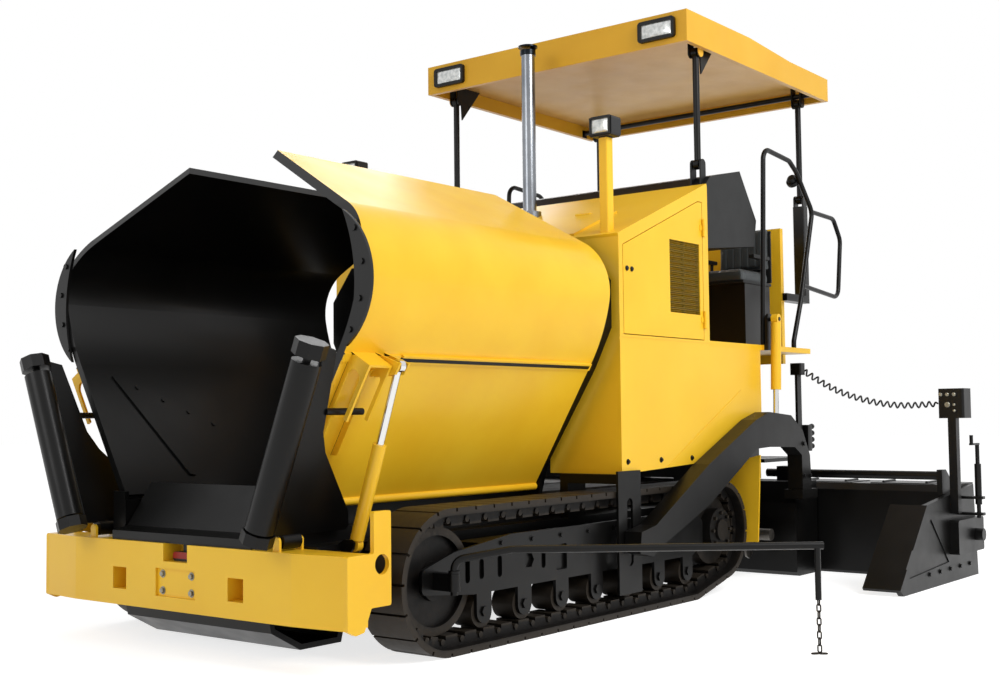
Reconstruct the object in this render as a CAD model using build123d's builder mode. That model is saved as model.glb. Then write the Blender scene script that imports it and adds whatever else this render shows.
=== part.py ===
import math
import os

from build123d import *

# Asphalt paver on tracks, in millimetres. +X is the way it travels, +Y its left side, +Z up.
# A station is the distance behind the front face of the front beam.

# Overall sizes
machine_width = 2500
overall_length = 6200
half_width = machine_width / 2
guard_station = -110
guard_bearing_radius = 85
guard_reach = guard_bearing_radius - guard_station
beam_front = overall_length / 2 - guard_reach
rear_station = overall_length - guard_reach
pin_clearance = 0.05
rod_clearance = 0.5

# Front beam and its side plates
beam_depth = 200
beam_bottom = 231
beam_top = 586
beam_corner_run = 350
beam_corner_setback = 35
plate = 25
side_plate_length = 340
horn_front = 218
horn_top = 790
tie_down_radius = 50
tie_down_station = 275
tie_down_height = 530
socket_size = 120
socket_offset = 485
socket_height = 378
panel_width = 330
panel_height = 150
panel_bolt_spacing_y = 240
panel_bolt_spacing_z = 90
panel_bolt_radius = 11
hook_notch_width = 200
hook_notch_depth = 95

# Chassis and tracks
chassis_half_width = 870
chassis_bottom = 270
chassis_top = 600
chassis_end_station = 4250
track_width = 300
track_outer = half_width
track_thickness = 100
shoe_thickness = 38
link_width = 160
link_notch_length = 62
link_notch_depth = 24
link_pin_radius = 17
link_pin_depth = 70
link_pin_proud = 8
idler_station = 800
idler_radius = 385
sprocket_station = 3750
sprocket_height = 440
sprocket_radius = 340
last_roller_station = 3350
last_roller_radius = 190
shoe_count = 52
shoe_gap = 14
shoe_gap_depth = 20
roller_radius = 90
roller_count = 7
wheel_gap = 0.3

# Hopper
wing_front_station = 147
hopper_length = 2165
wing_hinge_y = 670
wing_hinge_z = 800
wing_angle = 59.5
wing_floor_length = 893
wing_side = (1265, 1945)
wing_shoulder = (1090, 2330)
wing_tip = (377, 2717)
wing_skin = 45
hinge_tube_radius = 24
hinge_pin_radius = 12

# Guard roller arms at the hopper's front corners
arm_pivot_y = 765
arm_pivot_z = 635
arm_angle = 67.7
arm_length = 1060
arm_plate = 20
arm_eye_radius = 40
arm_pin_radius = 14
arm_eye_start = 45
arm_eye_length = 120
guard_radius = 75
guard_length = 880
guard_start = 75
guard_axle_radius = 20
arm_bar_distance = 700
arm_bar_radius = 18

# Wing cylinders
cylinder_station = 405
cylinder_foot = (943, 600)
cylinder_head = (1250, 1506)
cylinder_pin_radius = 15
cylinder_barrel_radius = 36
cylinder_rod_radius = 20
cylinder_barrel_length = 540
cylinder_stroke = 325

# Tractor body
body_front_station = 2450
body_rear_station = 3570
body_floor = 880
sill_height = 1720
door_bottom = 1757
hood_front_height = 2376
hood_rear_height = 2831
panel = 30
door_gap = 6
door_thickness = 35
lid_length = 560
lid_half_width = 880
lid_start = 60
platform_height = sill_height
floor_thickness = 40
floor_top = platform_height + floor_thickness
platform_half_width = half_width - 10
platform_end_station = 5250
rear_panel_half_width = 1000

# Canopy
roof_front_station = 3450
roof_rear_station = 5800
roof_half_width = 1200
roof_bottom = 3860
roof_top = 4060
post_radius = 24
front_post_station = 3710
front_post_y = 1120
rear_post_station = 5640
rear_post_y = 1000
post_foot_height = 3030
post_top_height = 3840
post_pin_radius = 12
post_eye_radius = 36
post_ear_gap = 32
post_ear = 12

# Tow arms and screed
tow_station = 2500
tow_height = 450
tow_pin_radius = 32
tow_arm_inner = half_width + 30
tow_arm_width = 120
lift_station = 4410
lift_arm_height = 1190
lift_top_station = 4450
lift_top_height = 1950
lift_pin_radius = 15
lift_rod_radius = 21
lift_plate_outer = 1290
cord_route_stations = [
    (4860, 1340, 1585),
    (4905, 1452, 1500),
    (4965, 1600, 1405),
    (5040, 1790, 1335),
    (5110, 1965, 1300),
    (5170, 2115, 1298),
    (5215, 2262, 1310),
]
cord_radius = 27
screed_front_station = 4900
screed_rear_station = 5280
screed_height = 720
extension_front_station = 5300
extension_rear_station = 5850
gate_y = 2290
gate_thickness = 40
guide_tube_radius = 32
auger_radius = 190
auger_station = 4680
auger_height = 330

# Steering guide rods
rod_pivot_station = 750
rod_pivot_y = half_width + 60
rod_radius = 20
rod_height = 560
rod_end_station = 1970
rod_end_y = 2790
rod_chain_radius = 9
rod_sleeve_radius = 16
rod_sleeve_bottom = 280

os.makedirs("parts", exist_ok=True)


def fore(station):
    """X of a station behind the front face of the front beam."""
    return beam_front - station


def side_plane(y):
    """Upright plane along the machine at y, extruding towards -Y."""
    return Plane.XZ.offset(-y)


def cross_plane(station):
    """Upright plane across the machine at a station, extruding forwards."""
    return Plane.YZ.offset(fore(station))


def level(z):
    return Plane.XY.offset(z)


def polar(origin, distance, angle):
    """Point at a distance and an angle in degrees from origin."""
    turn = math.radians(angle)
    return (origin[0] + distance * math.cos(turn), origin[1] + distance * math.sin(turn))


def save(part, name):
    part.label = name
    export_step(part, f"parts/{name}.step")


def save_pair(left, name):
    """Write the left-hand piece and its mirror image."""
    save(left, f"{name}_left")
    with BuildPart() as right:
        mirror(left, about=Plane.XZ)
    save(right.part, f"{name}_right")


def save_both(left, name):
    """Write one node that holds the left-hand piece and its mirror image."""
    with BuildPart() as both:
        add(left)
        mirror(left, about=Plane.XZ)
    save(both.part, name)


def stations(points):
    """Turn (station, height) pairs into (X, Z) points."""
    return [(fore(station), height) for station, height in points]


# Front beam: bowed box beam with two sockets, a bolt panel, a hook notch and the lugs of the guard arms
lug_gap = 8
lug_thickness = 15
lug_radius = 24
with BuildPart() as front_beam:
    with BuildSketch(level(beam_bottom)):
        with BuildLine():
            Polyline(
                (beam_front, 0),
                (beam_front, half_width - beam_corner_run),
                (beam_front - beam_corner_setback, half_width - plate),
                (fore(beam_depth), half_width - plate),
                (fore(beam_depth), 0),
                close=True,
            )
        make_face()
        mirror(about=Plane.XZ)
    extrude(amount=beam_top - beam_bottom)
    with BuildSketch(Plane.YZ.offset(beam_front)):
        with Locations((socket_offset, socket_height), (-socket_offset, socket_height)):
            Rectangle(socket_size, socket_size)
    extrude(amount=-(beam_depth - plate), mode=Mode.SUBTRACT)
    with BuildSketch(Plane.YZ.offset(beam_front)):
        with Locations((0, socket_height)):
            Rectangle(panel_width, panel_height)
    extrude(amount=-15, mode=Mode.SUBTRACT)
    with BuildSketch(Plane.YZ.offset(beam_front)):
        with Locations((0, socket_height)):
            with GridLocations(panel_bolt_spacing_y, panel_bolt_spacing_z, 2, 2):
                Circle(panel_bolt_radius)
    extrude(amount=-60, mode=Mode.SUBTRACT)
    with BuildSketch(Plane.YZ.offset(beam_front)):
        with Locations((0, beam_top - hook_notch_depth / 2)):
            Rectangle(hook_notch_width, hook_notch_depth)
    extrude(amount=-120, mode=Mode.SUBTRACT)
    with BuildSketch(side_plane(half_width)):
        with BuildLine():
            outline = FilletPolyline(
                *stations(
                    [
                        (beam_corner_setback, beam_bottom),
                        (90, beam_bottom - 26),
                        (150, beam_bottom - 16),
                        (200, 325),
                        (side_plate_length, 325),
                        (side_plate_length, horn_top),
                        (horn_front, horn_top),
                        (horn_front, beam_top),
                        (beam_corner_setback, beam_top),
                    ]
                ),
                radius=12,
                close=True,
            )
        make_face()
        with Locations((fore(tie_down_station), tie_down_height)):
            Circle(tie_down_radius, mode=Mode.SUBTRACT)
    extrude(amount=plate)
    with BuildSketch(side_plane(-half_width + plate)):
        with BuildLine():
            add(outline)
        make_face()
        with Locations((fore(tie_down_station), tie_down_height)):
            Circle(tie_down_radius, mode=Mode.SUBTRACT)
    extrude(amount=plate)
    for lug_station in (arm_eye_start - lug_gap, arm_eye_start + arm_eye_length + lug_gap + lug_thickness):
        with BuildSketch(cross_plane(lug_station)):
            for side in (1, -1):
                with Locations((side * arm_pivot_y, arm_pivot_z)):
                    Circle(lug_radius)
                with Locations((side * arm_pivot_y, (beam_top - 10 + arm_pivot_z) / 2)):
                    Rectangle(2 * lug_radius, arm_pivot_z - beam_top + 10)
        extrude(amount=lug_thickness)
    with BuildSketch(cross_plane(arm_eye_start + arm_eye_length + lug_gap)):
        for side in (1, -1):
            with Locations((side * arm_pivot_y, arm_pivot_z)):
                Circle(arm_pin_radius)
    extrude(amount=arm_eye_length + 2 * lug_gap)
save(front_beam.part, "front_beam")

# Tow hook in the notch of the front beam
with BuildPart() as tow_hook:
    with BuildSketch(cross_plane(115)):
        with Locations((0, beam_top - 70)):
            RectangleRounded(150, 50, 20)
    extrude(amount=70)
    with BuildSketch(cross_plane(118)):
        with Locations((0, beam_top - 50)):
            Rectangle(30, 90)
    extrude(amount=50)
    with BuildSketch(cross_plane(120)):
        with Locations((0, beam_top - 70)):
            Rectangle(80, 40)
    extrude(amount=10)
save(tow_hook.part, "tow_hook")

# Chassis: box frame with bosses for the track frames, ears for the wing cylinders and slotted tow guides
boss_stations = (1500, 3050)
boss_height = 440
ear_thickness = 14
ear_half_gap = 26
guide_outer = half_width + 22
guide_plate = 16
slot_clearance = 1.6
guide_beam_top = body_floor
foot_outline = [(850, 480), (880, 490), (960, 582), (968, 612), (943, 626), (900, 626), (850, 598)]
with BuildPart() as chassis:
    with BuildSketch(cross_plane(chassis_end_station)):
        with Locations((0, (chassis_bottom + chassis_top) / 2)):
            Rectangle(2 * chassis_half_width, chassis_top - chassis_bottom)
    extrude(amount=chassis_end_station - beam_depth)
    for station in boss_stations:
        with BuildSketch(side_plane(half_width - track_width + 40)):
            with Locations((fore(station), boss_height)):
                RectangleRounded(360, 170, 30)
        extrude(amount=2 * (half_width - track_width + 40))
    for side in (1, -1):
        for ear_station in (cylinder_station - ear_half_gap, cylinder_station + ear_half_gap + ear_thickness):
            with BuildSketch(cross_plane(ear_station)):
                with BuildLine():
                    Polyline(*[(side * y, z) for y, z in foot_outline], close=True)
                make_face()
            extrude(amount=ear_thickness)
        with BuildSketch(cross_plane(cylinder_station + ear_half_gap)):
            with Locations((side * cylinder_foot[0], cylinder_foot[1])):
                Circle(cylinder_pin_radius)
        extrude(amount=2 * ear_half_gap)
        guide_face = guide_outer if side == 1 else guide_plate - guide_outer
        with BuildSketch(side_plane(guide_face)):
            with Locations((fore(tow_station), 520)):
                Rectangle(260, 760)
                SlotOverall(420, 2 * tow_pin_radius + slot_clearance, rotation=90, mode=Mode.SUBTRACT)
        extrude(amount=guide_plate)
        with BuildSketch(cross_plane(tow_station + 100)):
            with Locations((side * (guide_outer + chassis_half_width) / 2, guide_beam_top - 30)):
                Rectangle(guide_outer - chassis_half_width, 60)
            with Locations((side * (chassis_half_width - 30), (chassis_top + guide_beam_top) / 2)):
                Rectangle(60, guide_beam_top - chassis_top)
        extrude(amount=200)
save(chassis.part, "chassis")

# Skid plate under the front beam
with BuildPart() as belly_plate:
    with BuildSketch(side_plane(600)):
        with BuildLine():
            Polyline(
                *stations(
                    [
                        (120, beam_bottom),
                        (140, 150),
                        (340, 40),
                        (640, 40),
                        (700, chassis_bottom),
                        (660, chassis_bottom),
                        (610, 70),
                        (350, 70),
                        (165, 170),
                        (150, beam_bottom),
                    ]
                ),
                close=True,
            )
        make_face()
    extrude(amount=1200)
save(belly_plate.part, "belly_plate")


# Tracks: one closed loop of shoes each, round the idler and the sprocket
def track_outline(inset):
    """Loop outline, inset from the tread, as a sketch in X and Z."""
    with BuildSketch() as loop:
        with Locations((fore(idler_station), idler_radius)):
            Circle(idler_radius - inset)
        with Locations((fore(sprocket_station), sprocket_height)):
            Circle(sprocket_radius - inset)
        with Locations((fore(last_roller_station), last_roller_radius)):
            Circle(last_roller_radius - inset)
        make_hull()
    return loop.sketch


tread = track_outline(0)
tread_edge = tread.face().outer_wire()
loop_middle = Vector(fore((idler_station + sprocket_station) / 2), idler_radius)


def round_track(depth):
    """One place for each shoe's joint, at a depth below the tread and turned along it."""
    places = []
    for shoe in range(shoe_count):
        spot = tread_edge.position_at(shoe / shoe_count)
        along = tread_edge.tangent_at(shoe / shoe_count)
        inward = Vector(-along.Y, along.X)
        if inward.dot(loop_middle - spot) < 0:
            inward = -inward
        place = spot + inward * depth
        places.append(Location((place.X, place.Y), math.degrees(math.atan2(along.Y, along.X))))
    return places


link_side = track_outer - (track_width - link_width) / 2
with BuildPart() as track:
    with BuildSketch(side_plane(track_outer)):
        add(tread)
        with Locations(*round_track(0)):
            Rectangle(shoe_gap, 2 * shoe_gap_depth, mode=Mode.SUBTRACT)
        add(track_outline(shoe_thickness), mode=Mode.SUBTRACT)
    extrude(amount=track_width)
    with BuildSketch(side_plane(link_side)):
        add(track_outline(shoe_thickness - 1))
        add(track_outline(track_thickness), mode=Mode.SUBTRACT)
        with Locations(*round_track(track_thickness)):
            Rectangle(link_notch_length, 2 * link_notch_depth, mode=Mode.SUBTRACT)
    extrude(amount=link_width)
    with BuildSketch(side_plane(link_side + link_pin_proud)):
        with Locations(*round_track(link_pin_depth)):
            Circle(link_pin_radius)
    extrude(amount=link_width + 2 * link_pin_proud)
save_pair(track.part, "track")

# Track frames: slotted side plate outside a box, inside each loop, with the holder of the guide rod
holder_bottom = 350
holder_height = 90
frame_outer = half_width - 65
frame_plate = 20
first_roller_station = 1150
roller_pitch = (last_roller_station - first_roller_station) / (roller_count - 1)
roller_stations = [first_roller_station + roller_pitch * number for number in range(roller_count)]
roller_height = track_thickness + roller_radius + wheel_gap
hanger_radius = 64
axle_head_radius = 30
frame_slots = [(1010, 420, 130), (1130, 420, 110), (1290, 420, 120), (1700, 430, 120), (2960, 430, 120)]
with BuildPart() as track_frame:
    with BuildSketch(side_plane(frame_outer)):
        with BuildLine():
            FilletPolyline(
                *stations(
                    [
                        (640, 330),
                        (640, 455),
                        (900, 530),
                        (1400, 590),
                        (3400, 590),
                        (3560, 520),
                        (3560, 360),
                        (3420, 290),
                        (1060, 290),
                    ]
                ),
                radius=30,
                close=True,
            )
        make_face()
        for station in roller_stations:
            with Locations((fore(station), roller_height)):
                Circle(hanger_radius)
            with Locations((fore(station), roller_height + 60)):
                Rectangle(2 * hanger_radius, 120)
        for station, height, length in frame_slots:
            with Locations((fore(station), height)):
                SlotOverall(length, 40, rotation=90, mode=Mode.SUBTRACT)
        with Locations((fore(1560), 430)):
            RegularPolygon(48, 6, mode=Mode.SUBTRACT)
        with Locations((fore(1880), 420)):
            RectangleRounded(110, 150, 12, mode=Mode.SUBTRACT)
    extrude(amount=frame_plate)
    with BuildSketch(side_plane(frame_outer + 12)):
        with Locations(*[(fore(station), roller_height) for station in roller_stations]):
            RegularPolygon(axle_head_radius, 6)
    extrude(amount=12)
    with BuildSketch(side_plane(frame_outer - frame_plate)):
        with BuildLine():
            Polyline(
                *stations([(1130, 300), (1130, 560), (3400, 570), (3400, 300)]),
                close=True,
            )
        make_face()
    extrude(amount=frame_outer - frame_plate - (half_width - track_width + 40))
    with BuildSketch(level(holder_bottom)):
        with Locations((fore(rod_pivot_station), (rod_pivot_y + frame_outer - frame_plate) / 2)):
            Rectangle(50, rod_pivot_y - frame_outer + frame_plate)
        with Locations((fore(rod_pivot_station), rod_pivot_y)):
            Circle(rod_radius + 12)
            Circle(rod_radius + pin_clearance, mode=Mode.SUBTRACT)
    extrude(amount=holder_height)
save_both(track_frame.part, "track_frames")

# Track wheels: idler, sprocket with its hub and the bottom rollers
wheel_outer = frame_outer - frame_plate
hub_radius = 150
hub_bolt_circle = 118
with BuildPart() as track_wheels:
    with BuildSketch(side_plane(wheel_outer - 25)):
        with Locations((fore(idler_station), idler_radius)):
            Circle(idler_radius - track_thickness - wheel_gap)
    extrude(amount=110)
    with BuildSketch(side_plane(wheel_outer - 25)):
        with Locations((fore(idler_station), idler_radius)):
            Circle(idler_radius - track_thickness - 45)
            Circle(105, mode=Mode.SUBTRACT)
    extrude(amount=30, mode=Mode.SUBTRACT)
    with BuildSketch(side_plane(wheel_outer)):
        with Locations((fore(idler_station), idler_radius)):
            Circle(75)
    extrude(amount=40)
    with BuildSketch(side_plane(wheel_outer - 25)):
        with Locations((fore(sprocket_station), sprocket_height)):
            Circle(sprocket_radius - track_thickness - wheel_gap)
    extrude(amount=110)
    with BuildSketch(side_plane(half_width - 30)):
        with Locations((fore(sprocket_station), sprocket_height)):
            Circle(hub_radius)
    extrude(amount=half_width - 30 - chassis_half_width)
    with BuildSketch(side_plane(half_width - 10)):
        with Locations((fore(sprocket_station), sprocket_height)):
            Circle(75)
            with PolarLocations(hub_bolt_circle, 8):
                RegularPolygon(13, 6)
    extrude(amount=25)
    for station in roller_stations:
        with BuildSketch(side_plane(wheel_outer)):
            with Locations((fore(station), roller_height)):
                Circle(roller_radius)
        extrude(amount=150)
save_both(track_wheels.part, "track_wheels")

# Hopper base: sills beside the conveyors that carry the wing hinges
wing_rear_station = wing_front_station + hopper_length
with BuildPart() as hopper_base:
    with BuildSketch(cross_plane(wing_rear_station + 10)):
        with Locations((0, chassis_top + 35)):
            Rectangle(2 * (wing_hinge_y + 60), 70)
    extrude(amount=wing_rear_station + 10 - beam_depth)
    with BuildSketch(cross_plane(wing_rear_station + 10)):
        for side in (1, -1):
            with Locations((side * (wing_hinge_y - 60), chassis_top + 130)):
                Rectangle(40, 140)
    extrude(amount=wing_rear_station + 10 - wing_front_station + 8 + plate)
    for station in (wing_front_station - 8, wing_rear_station + 8 + plate):
        with BuildSketch(cross_plane(station)):
            for side in (1, -1):
                with Locations((side * (wing_hinge_y - 20), chassis_top + 125)):
                    Rectangle(110, 240)
        extrude(amount=plate)
    for start, end in (
        (wing_front_station - 8 - plate, wing_front_station + 40),
        (wing_rear_station - 40, wing_rear_station + 8 + plate),
    ):
        with BuildSketch(cross_plane(end)):
            for side in (1, -1):
                with Locations((side * wing_hinge_y, wing_hinge_z)):
                    Circle(hinge_pin_radius)
        extrude(amount=end - start)
save(hopper_base.part, "hopper_base")

# Conveyors: two flat bar conveyors side by side
conveyor_top = chassis_top + 150
bar_pitch = 190
with BuildPart() as conveyors:
    for side in (1, -1):
        with BuildSketch(side_plane(side * 285 + 260)):
            with BuildLine():
                FilletPolyline(
                    *stations(
                        [
                            (330, chassis_top + 70),
                            (330, conveyor_top),
                            (4520, conveyor_top),
                            (4520, chassis_top + 70),
                        ]
                    ),
                    radius=25,
                    close=True,
                )
            make_face()
        extrude(amount=520)
    bar_count = int((wing_rear_station - 500) / bar_pitch)
    for number in range(bar_count):
        with BuildSketch(level(conveyor_top)):
            for side in (1, -1):
                with Locations((fore(470 + number * bar_pitch), side * 285)):
                    Rectangle(40, 500)
        extrude(amount=22)
save(conveyors.part, "conveyors")

# Apron: folded front wall between the wings
apron_half_width = wing_hinge_y - 90
with BuildPart() as hopper_apron:
    with BuildSketch(side_plane(apron_half_width)):
        with BuildLine():
            Polyline(
                *stations(
                    [
                        (20, beam_top),
                        (20, beam_top + 50),
                        (120, beam_top + 70),
                        (280, 890),
                        (300, 890),
                        (300, 860),
                        (160, beam_top + 40),
                        (160, beam_top),
                    ]
                ),
                close=True,
            )
        make_face()
    extrude(amount=2 * apron_half_width)
save(hopper_apron.part, "hopper_apron")


# Wings: a straight floor, two tangent arcs and a straight top, bent from one skin
def wing_path():
    """Outer line of the left wing in Y and Z, from the hinge to the tip."""
    hinge = (wing_hinge_y, wing_hinge_z)
    crease = polar(hinge, wing_floor_length, wing_angle)
    floor = Line(hinge, crease)
    side = TangentArc(crease, wing_side, tangent=floor % 1)
    shoulder = TangentArc(wing_side, wing_shoulder, tangent=side % 1)
    top = Line(wing_shoulder, wing_tip)
    return floor, side, shoulder, top


floor_direction = (math.cos(math.radians(wing_angle)), math.sin(math.radians(wing_angle)))


def on_floor(along, proud):
    """Point on the wing's floor: a distance from the hinge and a height off its outer face."""
    return (
        wing_hinge_y + along * floor_direction[0] + proud * floor_direction[1],
        wing_hinge_z + along * floor_direction[1] - proud * floor_direction[0],
    )


# The wing's floor seen square on: its x is minus the station, its y the distance from the hinge
floor_plane = Plane(
    origin=(fore(0), wing_hinge_y, wing_hinge_z),
    x_dir=(1, 0, 0),
    z_dir=(0, -floor_direction[1], floor_direction[0]),
)
bar_point = polar((arm_pivot_y, arm_pivot_z), arm_bar_distance, arm_angle - 0.5)
bar_rise_y = bar_point[0] - wing_hinge_y
bar_rise_z = bar_point[1] - wing_hinge_z
bar_along = bar_rise_y * floor_direction[0] + bar_rise_z * floor_direction[1]
bar_proud = bar_rise_y * floor_direction[1] - bar_rise_z * floor_direction[0]
slot_width = 2 * (arm_bar_radius + 26)
bracket_depth = bar_proud + slot_width / 2 + 24
bracket_plate = 16
bracket_gap = 6
arm_bar_end = side_plate_length + bracket_gap + bracket_plate - 2
bracket_mouth = 20
bracket_top = 300
slot_bottom = 60
slot_top = 234
lens_plate = 18
lens_bolts = [(1212, 2180), (1262, 2010), (1245, 1830), (1180, 1680)]
hem_width = 45
hem_height = 8
flap_plate = 12
with BuildPart() as wing:
    with BuildSketch(cross_plane(wing_rear_station)):
        with BuildLine():
            wing_path()
            offset(amount=wing_skin, side=Side.LEFT)
        make_face()
        with Locations((wing_hinge_y, wing_hinge_z)):
            Circle(hinge_tube_radius)
            Circle(hinge_pin_radius + pin_clearance, mode=Mode.SUBTRACT)
    extrude(amount=hopper_length)
    with BuildSketch(side_plane(half_width + 100)):
        with BuildLine():
            Polyline(
                *stations(
                    [
                        (0, 2140),
                        (wing_front_station, 2140),
                        (215, 2330),
                        (400, 2740),
                        (400, 2900),
                        (0, 2900),
                    ]
                ),
                close=True,
            )
        make_face()
    extrude(amount=half_width, mode=Mode.SUBTRACT)
    for station in (horn_front - bracket_gap, side_plate_length + bracket_gap + bracket_plate):
        with BuildSketch(cross_plane(station)):
            with BuildLine():
                Polyline(
                    on_floor(bar_along - bracket_top, 0),
                    on_floor(bar_along - bracket_top + 20, 40),
                    on_floor(bar_along - 2 * bracket_mouth, 40),
                    on_floor(bar_along - bracket_mouth, 60),
                    on_floor(bar_along - bracket_mouth, bracket_depth),
                    on_floor(bar_along + bracket_top, bracket_depth),
                    on_floor(bar_along + bracket_top, 0),
                    close=True,
                )
            make_face()
            slot_middle = on_floor(bar_along + (slot_top - slot_bottom) / 2, bar_proud)
            with Locations(Location(slot_middle, wing_angle)):
                SlotOverall(slot_top + slot_bottom, slot_width, mode=Mode.SUBTRACT)
        extrude(amount=bracket_plate)
    with BuildSketch(cross_plane(side_plate_length + bracket_gap)):
        with BuildLine():
            Polyline(
                on_floor(bar_along + bracket_top - 12, 0),
                on_floor(bar_along + bracket_top - 12, bracket_depth),
                on_floor(bar_along + bracket_top, bracket_depth),
                on_floor(bar_along + bracket_top, 0),
                close=True,
            )
        make_face()
    extrude(amount=side_plate_length - horn_front + 2 * bracket_gap)
    with BuildSketch(cross_plane(wing_front_station)):
        with BuildLine():
            ThreePointArc((1130, 2280), (1325, 1980), (1150, 1600))
            ThreePointArc((1150, 1600), (1212, 1950), (1130, 2280))
        make_face()
    extrude(amount=lens_plate)
    with BuildSketch(cross_plane(wing_front_station - lens_plate)):
        with Locations(*lens_bolts):
            RegularPolygon(17, 6)
    extrude(amount=10)
    with BuildSketch(cross_plane(wing_rear_station)):
        with BuildLine():
            Polyline(
                on_floor(wing_floor_length - hem_width, -1),
                on_floor(wing_floor_length - hem_width, hem_height),
                on_floor(wing_floor_length, hem_height),
                on_floor(wing_floor_length, -1),
                close=True,
            )
        make_face()
    extrude(amount=hopper_length)
    with BuildSketch(floor_plane.offset(wing_skin - 1)):
        with BuildLine():
            Polyline((-330, 800), (-405, 800), (-1120, 410), (-680, 100), (-640, 110), close=True)
        make_face()
    extrude(amount=flap_plate + 1)
    with BuildSketch(floor_plane.offset(wing_skin + flap_plate)):
        with Locations((-480, 720), (-640, 630), (-800, 545), (-960, 455)):
            Circle(14)
    extrude(amount=8)
    for station in (cylinder_station - ear_half_gap, cylinder_station + ear_half_gap + ear_thickness):
        with BuildSketch(cross_plane(station)):
            with BuildLine():
                Polyline(
                    on_floor(760, 0),
                    (cylinder_head[0] + 10, cylinder_head[1] - 45),
                    (cylinder_head[0] + 45, cylinder_head[1] + 10),
                    on_floor(900, -5),
                    close=True,
                )
            make_face()
        extrude(amount=ear_thickness)
save_pair(wing.part, "wing")

# Wing cylinders: barrel on its foot eye, and rod with its head eye
foot = cylinder_foot
head = cylinder_head
cylinder_angle = math.degrees(math.atan2(head[1] - foot[1], head[0] - foot[0]))
cylinder_length = math.dist(foot, head)
cylinder_axis = Vector(0, math.cos(math.radians(cylinder_angle)), math.sin(math.radians(cylinder_angle)))
cylinder_plane = Plane(
    origin=(fore(cylinder_station), foot[0], foot[1]), x_dir=(1, 0, 0), z_dir=cylinder_axis
)
with BuildPart() as wing_barrel:
    with BuildSketch(cylinder_plane.offset(30)):
        Circle(cylinder_barrel_radius)
    extrude(amount=cylinder_barrel_length - 30)
    with BuildSketch(cylinder_plane.offset(60)):
        Circle(cylinder_rod_radius + rod_clearance)
    extrude(amount=cylinder_barrel_length, mode=Mode.SUBTRACT)
    with BuildSketch(cross_plane(cylinder_station + 20)):
        with Locations(foot):
            Circle(cylinder_barrel_radius)
            Circle(cylinder_pin_radius + pin_clearance, mode=Mode.SUBTRACT)
    extrude(amount=40)
save_pair(wing_barrel.part, "wing_barrel")

rod_start = cylinder_stroke + 75
with BuildPart() as wing_rod:
    with BuildSketch(cylinder_plane.offset(rod_start)):
        Circle(cylinder_rod_radius)
    extrude(amount=cylinder_length - rod_start)
    with BuildSketch(cross_plane(cylinder_station + 18)):
        with Locations(head):
            Circle(34)
    extrude(amount=36)
save_pair(wing_rod.part, "wing_rod")

# Guard roller arms: gusset plate with end bearings, axle and slide bar
arm_foot = (arm_pivot_y, arm_pivot_z)
arm_plane = Plane(
    origin=(fore(0), arm_foot[0], arm_foot[1]),
    x_dir=(0, math.cos(math.radians(arm_angle)), math.sin(math.radians(arm_angle))),
    z_dir=(0, math.sin(math.radians(arm_angle)), -math.cos(math.radians(arm_angle))),
)
guard_axis = Vector(0, math.cos(math.radians(arm_angle)), math.sin(math.radians(arm_angle)))
guard_plane = Plane(
    origin=(fore(guard_station), arm_foot[0], arm_foot[1]), x_dir=(1, 0, 0), z_dir=guard_axis
)
with BuildPart() as guard_arm:
    with BuildSketch(arm_plane.offset(-arm_plate / 2)) as gusset:
        with BuildLine():
            Polyline(
                (34, 100),
                (34, -490),
                (60, -500),
                (140, -470),
                (480, -180),
                (590, -125),
                (arm_length - 40, -60),
                (arm_length - 20, 20),
                (arm_length - 20, 120),
                (arm_length - 60, 120),
                (arm_length - 60, 20),
                (60, 20),
                (60, 100),
                close=True,
            )
        make_face()
    extrude(amount=arm_plate)
    with BuildSketch(cross_plane(arm_eye_start + arm_eye_length)):
        with Locations(arm_foot):
            Circle(arm_eye_radius)
    extrude(amount=arm_eye_length)
    with BuildSketch(cross_plane(arm_eye_start + arm_eye_length)):
        with Locations(arm_foot):
            Circle(arm_pin_radius + pin_clearance)
    extrude(amount=arm_eye_length, mode=Mode.SUBTRACT)
    for start, length in ((5, 60), (arm_length - 75, 75)):
        with BuildSketch(guard_plane.offset(start)):
            RegularPolygon(guard_bearing_radius, 8)
        extrude(amount=length)
    with BuildSketch(guard_plane.offset(30)):
        Circle(guard_axle_radius)
    extrude(amount=arm_length - 60)
    with BuildSketch(cross_plane(arm_bar_end)):
        with Locations(bar_point):
            Circle(arm_bar_radius)
    extrude(amount=arm_bar_end - 100)
save_pair(guard_arm.part, "guard_arm")

with BuildPart() as guard_roller:
    with BuildSketch(guard_plane.offset(guard_start)):
        Circle(guard_radius)
        Circle(guard_axle_radius + pin_clearance, mode=Mode.SUBTRACT)
    extrude(amount=guard_length)
save_pair(guard_roller.part, "guard_roller")

# Hopper bulkhead: black wall behind the wings, inside their outline
bulkhead_front = wing_rear_station + 45
with BuildPart() as hopper_bulkhead:
    with BuildSketch(cross_plane(body_front_station)):
        with BuildLine():
            Polyline(
                (wing_hinge_y - 60, chassis_top + 70),
                on_floor(120, -60),
                (1060, 1540),
                (1190, 1800),
                (1190, 2100),
                (1000, 2340),
                (-1000, 2340),
                (-1190, 2100),
                (-1190, 1800),
                (-1060, 1540),
                (-on_floor(120, -60)[0], on_floor(120, -60)[1]),
                (-wing_hinge_y + 60, chassis_top + 70),
                close=True,
            )
        make_face()
        with Locations((0, chassis_top + 210)):
            Rectangle(1110, 420, mode=Mode.SUBTRACT)
    extrude(amount=body_front_station - bulkhead_front)
save(hopper_bulkhead.part, "hopper_bulkhead")

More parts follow.
